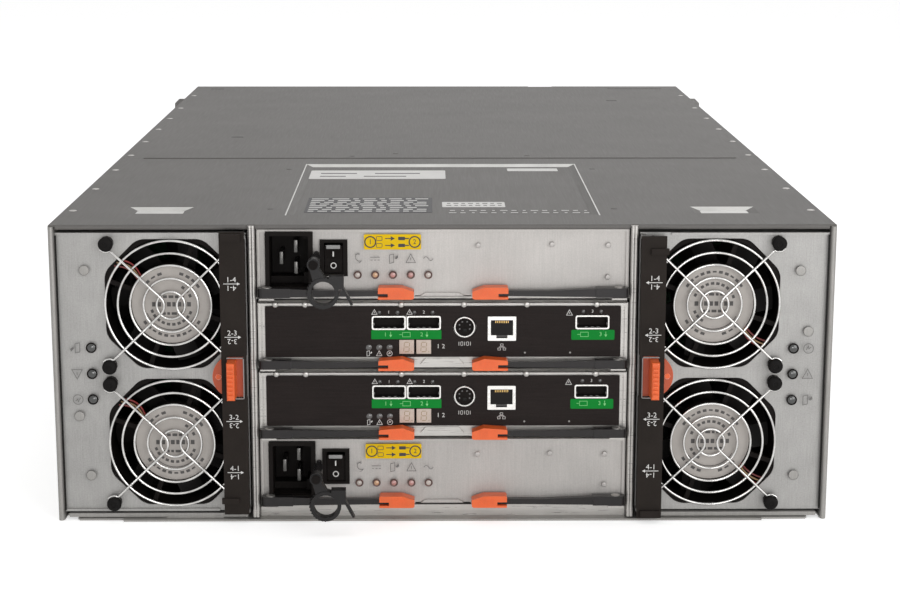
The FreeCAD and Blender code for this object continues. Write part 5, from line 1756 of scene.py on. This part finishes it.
    def _tags(self) -> None:
        """Adds the green strips under the data ports with their arrows."""
        tags = Shape()
        y = (self.face - 0.16, self.face)
        top = self.base + self.cages[0][1] - self.cage_size[1] / 2 - 0.4
        pair = (self.cages[0][0] + self.cages[1][0]) / 2
        tags.plate(oblong((pair, top - 2.6), 40.2, 5.3, 0.4), y, GREEN_TAG)
        tags.plate(oblong((self.cages[2][0] + 0.4, top - 2.9), 24.8, 5.8, 0.7), y, GREEN_TAG)
        tags.finish("port_tags_" + self.name, self.body, "port_metal")
        marks = Print(Shape(), self.face - 0.16, PALE_GREEN_INK, line=0.3)
        ink_y = (self.face - 0.22, self.face - 0.14)
        for x, number in ((pair - 10.6, "1"), (pair + 10.2, "2"), (self.cages[2][0] + 6.2, "3")):
            marks.arrow((x + 1.6, top - 1.0), (x + 1.6, top - 4.2), 1.5)
            marks.shape.text(number, (x - 1.4, top - 2.6), 2.4, ink_y, PALE_GREEN_INK)
        for x in (pair, self.cages[2][0] - 4.5):
            marks.shape.stroke(oblong((x, top - 2.6), 4.4, 2.6), 0.25, ink_y, PALE_GREEN_INK, closed=True)
            marks.shape.stroke([(x - 4.0, top - 2.6), (x - 2.2, top - 2.6)], 0.25, ink_y, PALE_GREEN_INK)
        marks.shape.finish("port_tag_marks_" + self.name, self.body, "port_metal")

    def _bumps(self, repeats: Repeats) -> None:
        """Adds the bright contact bumps on the case's upper edge and the two panel rivets.

        Args:
            repeats: the trees of what repeats.
        """
        spots = [(x, 1.5, self.top - 0.5) for x in self.bump_xs]
        repeats.rivets("contact_bumps_" + self.name, spots, (0, -1, 0), 1.7, 0.55, self.body, "bright_steel",
                       TRIM_STEEL)
        rivets = [(x, self.face, self.base + 9.2) for x in (47.0, 73.0)]
        repeats.rivets("panel_rivets_" + self.name, rivets, (0, -1, 0), 0.6, 0.15, self.body, "bright_steel",
                       TRAY_STEEL)


# ---- levers
@dataclass
class LeverPair:
    """The two levers under one module and the orange latches at their ends."""

    family: str
    name: str
    pivot_x: float = 100.2
    head_profile: tuple[Point, ...] = ((0, -0.3), (2.6, -0.3), (2.6, 0.25), (1.9, 0.55), (0.8, 0.6), (0, 0.6))

    def build(self, repeats: Repeats) -> None:
        """Dresses the levers and latches and adds the latches' grips and the pivots' heads.

        Args:
            repeats: the trees of what repeats.
        """
        for side, sx in (("left", -1), ("right", 1)):
            tail = "_" + self.name + "_" + side
            dress(self.family + "_lever" + tail, LEVER_BLACK)
            latch = self.family + "_latch" + tail
            dress(latch, ORANGE)
            box_low, box_high = low(latch), high(latch)
            mid_z = (box_low.z + box_high.z) / 2
            near = min(abs(box_low.x), abs(box_high.x))
            ribs = [((sx * (near + 5.0 + 1.9 * k), box_low.y - 0.05, mid_z + 0.3), (0.8, 0.5, 3.4), 0.0)
                    for k in range(5)]
            repeats.lines(latch + "_grip", ribs, latch, "release_orange", ORANGE)
            head = Shape()
            lever = self.family + "_lever" + tail
            pivot = (sx * self.pivot_x, middle_of(lever).y, high(lever).z)
            head.turned(self.head_profile, pivot, TRIM_STEEL, axis=(0, 0, 1), sides=18)
            head.finish(self.family + "_pivot_head" + tail, self.family + "_" + self.name, "bright_steel")


# ---- drawers
@dataclass
class Drawer:
    """One drive drawer: its tray, front, vents, levers, lamps and the drives in it."""

    number: int
    vent_xs: tuple[float, ...] = (-105, -42, 42, 105)
    vent_w: float = 56.0
    vent_z: float = 7.5
    vent_h: float = 17.0
    front_y: float = 775.0
    lever_out: float = 16.5
    cell: float = 2.3
    drive_rows: int = 3
    drive_columns: int = 4
    drive_pitch: Point = (104.2, 151.0)
    first_drive: float = 73.5
    lamp_x: float = 143.5

    def __post_init__(self) -> None:
        """Reads the drawer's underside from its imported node."""
        self.node = "drawer_" + str(self.number)
        self.body = self.node + "_unit"
        self.base = low(self.node).z
        self.top = high(self.node).z

    def build(self, repeats: Repeats) -> None:
        """Dresses the drawer and adds its grilles, lamps, marks and drive details.

        Args:
            repeats: the trees of what repeats.
        """
        dress(self.node, DRAWER_BLACK)
        dress(self.node + "_drives", DRIVE_ALLOY)
        self._grilles(repeats)
        self._front()
        self._drives(repeats)

    def _grilles(self, repeats: Repeats) -> None:
        """Adds the honeycomb grille behind each vent.

        Args:
            repeats: the trees of what repeats.
        """
        cells: list[Spot] = []
        across, up = self.cell * 1.5, self.cell * math.sqrt(3)
        columns = int(self.vent_w / across) - 1
        rows = int(self.vent_h / up)
        for x in self.vent_xs:
            for k in range(columns):
                for j in range(rows):
                    z = self.base + self.vent_z + up * (j + (0.95 if k % 2 else 0.6))
                    cells.append((x - self.vent_w / 2 + across * (k + 1), self.front_y - 3.0, z))
        repeats.run(self.node + "_grille", repeats.combs, cells, self.body, TRIM_STEEL,
                    {"Cell": self.cell * MM, "Wall": 0.35 * MM, "Depth": 2.0 * MM})

    def _front(self) -> None:
        """Adds the lever grips, lamps and plain number on the drawer's front."""
        front = Shape()
        mid_z = (self.base + self.top) / 2
        out = self.front_y + self.lever_out
        for side in (-1, 1):
            front.block((side * 157.0, side * 163.0), (out - 4.0, out - 0.2), (mid_z - 7.0, mid_z + 7.0),
                        ORANGE, edge=0.6)
            for k in range(4):
                front.block((side * (170.0 + 6.0 * k), side * (172.5 + 6.0 * k)),
                            (self.front_y + 5.0, self.front_y + 5.6),
                            (self.base + 6.2, self.base + 7.4), TRIM_STEEL, edge=0.2)
        for k, lens in enumerate((MILK_LENS, AMBER_LENS, SMOKE_LENS)):
            front.turned([(0, -0.4), (1.6, -0.4), (1.5, 0.1), (0.9, 0.4), (0, 0.5)],
                         (self.lamp_x, self.front_y, mid_z + 6.0 - 6.0 * k), lens, axis=(0, 1, 0), sides=18)
        y = (self.front_y + 0.08, self.front_y - 0.02)
        front.text(str(self.number), (-143.0, mid_z), 7.0, y, WHITE_INK, flip=True)
        front.finish(self.node + "_front_details", self.body, "drawer_black")

    def _drives(self, repeats: Repeats) -> None:
        """Adds a sticker, print lines and lid screws to every drive.

        Args:
            repeats: the trees of what repeats.
        """
        top = high(self.node + "_drives").z
        first_y = low(self.node + "_drives").y + self.first_drive
        tags = Shape()
        lines: list[tuple[Spot, Spot, float]] = []
        screws: list[Spot] = []
        for row in range(self.drive_rows):
            y = first_y + self.drive_pitch[1] * row
            for col in range(self.drive_columns):
                x = (col - (self.drive_columns - 1) / 2) * self.drive_pitch[0]
                tags.plate(oblong((x, y + 10), 82, 96, 2.0), (top, top + 0.12), WHITE_TAG, flat="xy")
                for k in range(8):
                    wide = 58.0 - 11.0 * ((k + col + row) % 3)
                    lines.append(((x - 3, y - 22 + 9 * k, top + 0.12), (wide, 2.2, 0.08), 0.0))
                screws.extend([(x + sx * 45.0, y + dy, top) for sx in (-1, 1) for dy in (-66.0, 0.0, 66.0)])
        tags.finish(self.node + "_drive_tags", self.body, "drive_metal")
        repeats.lines(self.node + "_drive_print", lines, self.body, "drive_metal", GREY_INK, axis=2)
        repeats.rivets(self.node + "_drive_screws", screws, (0, 0, 1), 2.2, 0.5, self.body, "drive_metal",
                       TRIM_STEEL)


# ---- studio
@dataclass
class Studio:
    """Pale floor, soft lamps, white surround and the camera."""

    camera_at: Spot = (-0.00817, -1.50925, 0.3694)
    yaw: float = -0.615
    pitch: float = 11.918
    roll: float = 0.048
    lens: float = 80.83
    fill: float = 0.46
    floor_half: float = 14.0
    floor_glow: float = 0.55
    lamps: tuple[tuple[str, Spot, float, float], ...] = (
        ("key", (1.5, -2.3, 0.65), 1.5, 23.0), ("over", (0.4, 0.1, 2.2), 2.2, 9.0),
        ("left", (-1.9, -0.8, 1.1), 1.4, 3.0), ("low", (0.1, -2.4, 0.2), 0.6, 9.0),
        ("far", (0.5, 2.2, 1.6), 1.6, 5.0))

    def build(self) -> None:
        """Sets up the floor, the lamps, the surround and the camera."""
        self._view()
        self._floor()
        self._surround()
        for name, place, size, power in self.lamps:
            self._lamp(name, place, size, power)

    def _view(self) -> None:
        """Places the camera and keeps plain colour."""
        data = bpy.data.cameras.new("camera")
        data.lens = self.lens
        data.sensor_width = 36.0
        data.clip_end = 50.0
        camera = bpy.data.objects.new("camera", data)
        bpy.context.scene.collection.objects.link(camera)
        turn = Matrix.Rotation(math.radians(self.yaw), 4, "Z")
        turn = turn @ Matrix.Rotation(math.radians(90 - self.pitch), 4, "X")
        turn = turn @ Matrix.Rotation(math.radians(self.roll), 4, "Z")
        camera.matrix_world = Matrix.Translation(Vector(self.camera_at)) @ turn
        bpy.context.scene.camera = camera
        bpy.context.scene.view_settings.view_transform = "Standard"

    def _floor(self) -> None:
        """Adds the pale floor under the shelf."""
        mesh = bpy.data.meshes.new("floor")
        size = self.floor_half
        corners = [(-size, -size, 0), (size, -size, 0), (size, size, 0), (-size, size, 0)]
        mesh.from_pydata(corners, [], [(0, 1, 2, 3)])
        floor = bpy.data.objects.new("floor", mesh)
        bpy.context.scene.collection.objects.link(floor)
        material = bpy.data.materials.new("pale_floor")
        material.use_nodes = True
        tree = material.node_tree
        shader = tree.nodes["Principled BSDF"]
        shader.inputs["Base Color"].default_value = (0.90, 0.90, 0.90, 1)
        shader.inputs["Roughness"].default_value = 0.9
        shader.inputs["Specular IOR Level"].default_value = 0.1
        seen = self._seen(tree)
        lit = tree.nodes.new("ShaderNodeEmission")
        lit.inputs["Color"].default_value = (1, 1, 1, 1)
        lit.inputs["Strength"].default_value = self.floor_glow
        both = tree.nodes.new("ShaderNodeAddShader")
        mix = tree.nodes.new("ShaderNodeMixShader")
        tree.links.new(shader.outputs["BSDF"], both.inputs[0])
        tree.links.new(lit.outputs["Emission"], both.inputs[1])
        tree.links.new(seen, mix.inputs["Fac"])
        tree.links.new(shader.outputs["BSDF"], mix.inputs[1])
        tree.links.new(both.outputs["Shader"], mix.inputs[2])
        tree.links.new(mix.outputs["Shader"], tree.nodes["Material Output"].inputs["Surface"])
        mesh.materials.append(material)

    def _seen(self, tree: bpy.types.NodeTree) -> bpy.types.NodeSocket:
        """1 for what the camera sees straight, in gloss or through glass.

        Args:
            tree: the node tree.

        Returns:
            The output socket.
        """
        path = tree.nodes.new("ShaderNodeLightPath")
        first = tree.nodes.new("ShaderNodeMath")
        second = tree.nodes.new("ShaderNodeMath")
        for node in (first, second):
            node.operation = "MAXIMUM"
        tree.links.new(path.outputs["Is Camera Ray"], first.inputs[0])
        tree.links.new(path.outputs["Is Glossy Ray"], first.inputs[1])
        tree.links.new(first.outputs[0], second.inputs[0])
        tree.links.new(path.outputs["Is Transmission Ray"], second.inputs[1])
        return second.outputs[0]

    def _surround(self) -> None:
        """Sets a white surround that lights the shelf softly."""
        world = bpy.data.worlds.new("surround")
        bpy.context.scene.world = world
        world.use_nodes = True
        tree = world.node_tree
        light = tree.nodes["Background"]
        light.inputs["Color"].default_value = (1, 1, 1, 1)
        light.inputs["Strength"].default_value = self.fill
        shown = tree.nodes.new("ShaderNodeBackground")
        shown.inputs["Color"].default_value = (1, 1, 1, 1)
        shown.inputs["Strength"].default_value = 1.0
        mix = tree.nodes.new("ShaderNodeMixShader")
        tree.links.new(self._seen(tree), mix.inputs["Fac"])
        tree.links.new(light.outputs["Background"], mix.inputs[1])
        tree.links.new(shown.outputs["Background"], mix.inputs[2])
        tree.links.new(mix.outputs["Shader"], tree.nodes["World Output"].inputs["Surface"])

    def _lamp(self, name: str, place: Spot, size: float, power: float) -> None:
        """Adds one soft lamp that faces the shelf.

        Args:
            name: its name.
            place: where it stands, in metres.
            size: its width in metres.
            power: its power in watts.
        """
        data = bpy.data.lights.new(name, "AREA")
        data.shape = "SQUARE"
        data.size = size
        data.energy = power
        lamp = bpy.data.objects.new(name, data)
        bpy.context.scene.collection.objects.link(lamp)
        towards = Vector((0, 0, 0.1)) - Vector(place)
        turn = towards.to_track_quat("-Z", "Y").to_matrix().to_4x4()
        lamp.matrix_world = Matrix.Translation(Vector(place)) @ turn


# ---- the whole shelf
def main() -> None:
    """Builds the studio and every sub-assembly in order."""
    logging.basicConfig(level=logging.INFO, format="%(message)s")
    Studio().build()
    repeats = Repeats()
    Case().build(repeats)
    for side in ("left", "right"):
        FanModule(side).build(repeats)
    for name in ("a", "b"):
        PowerSupply(name).build(repeats)
        Controller(name).build(repeats)
        LeverPair("psu", name).build(repeats)
        LeverPair("sbb", name).build(repeats)
    for number in range(1, 6):
        Drawer(number).build(repeats)


if __name__ == "__main__":
    main()
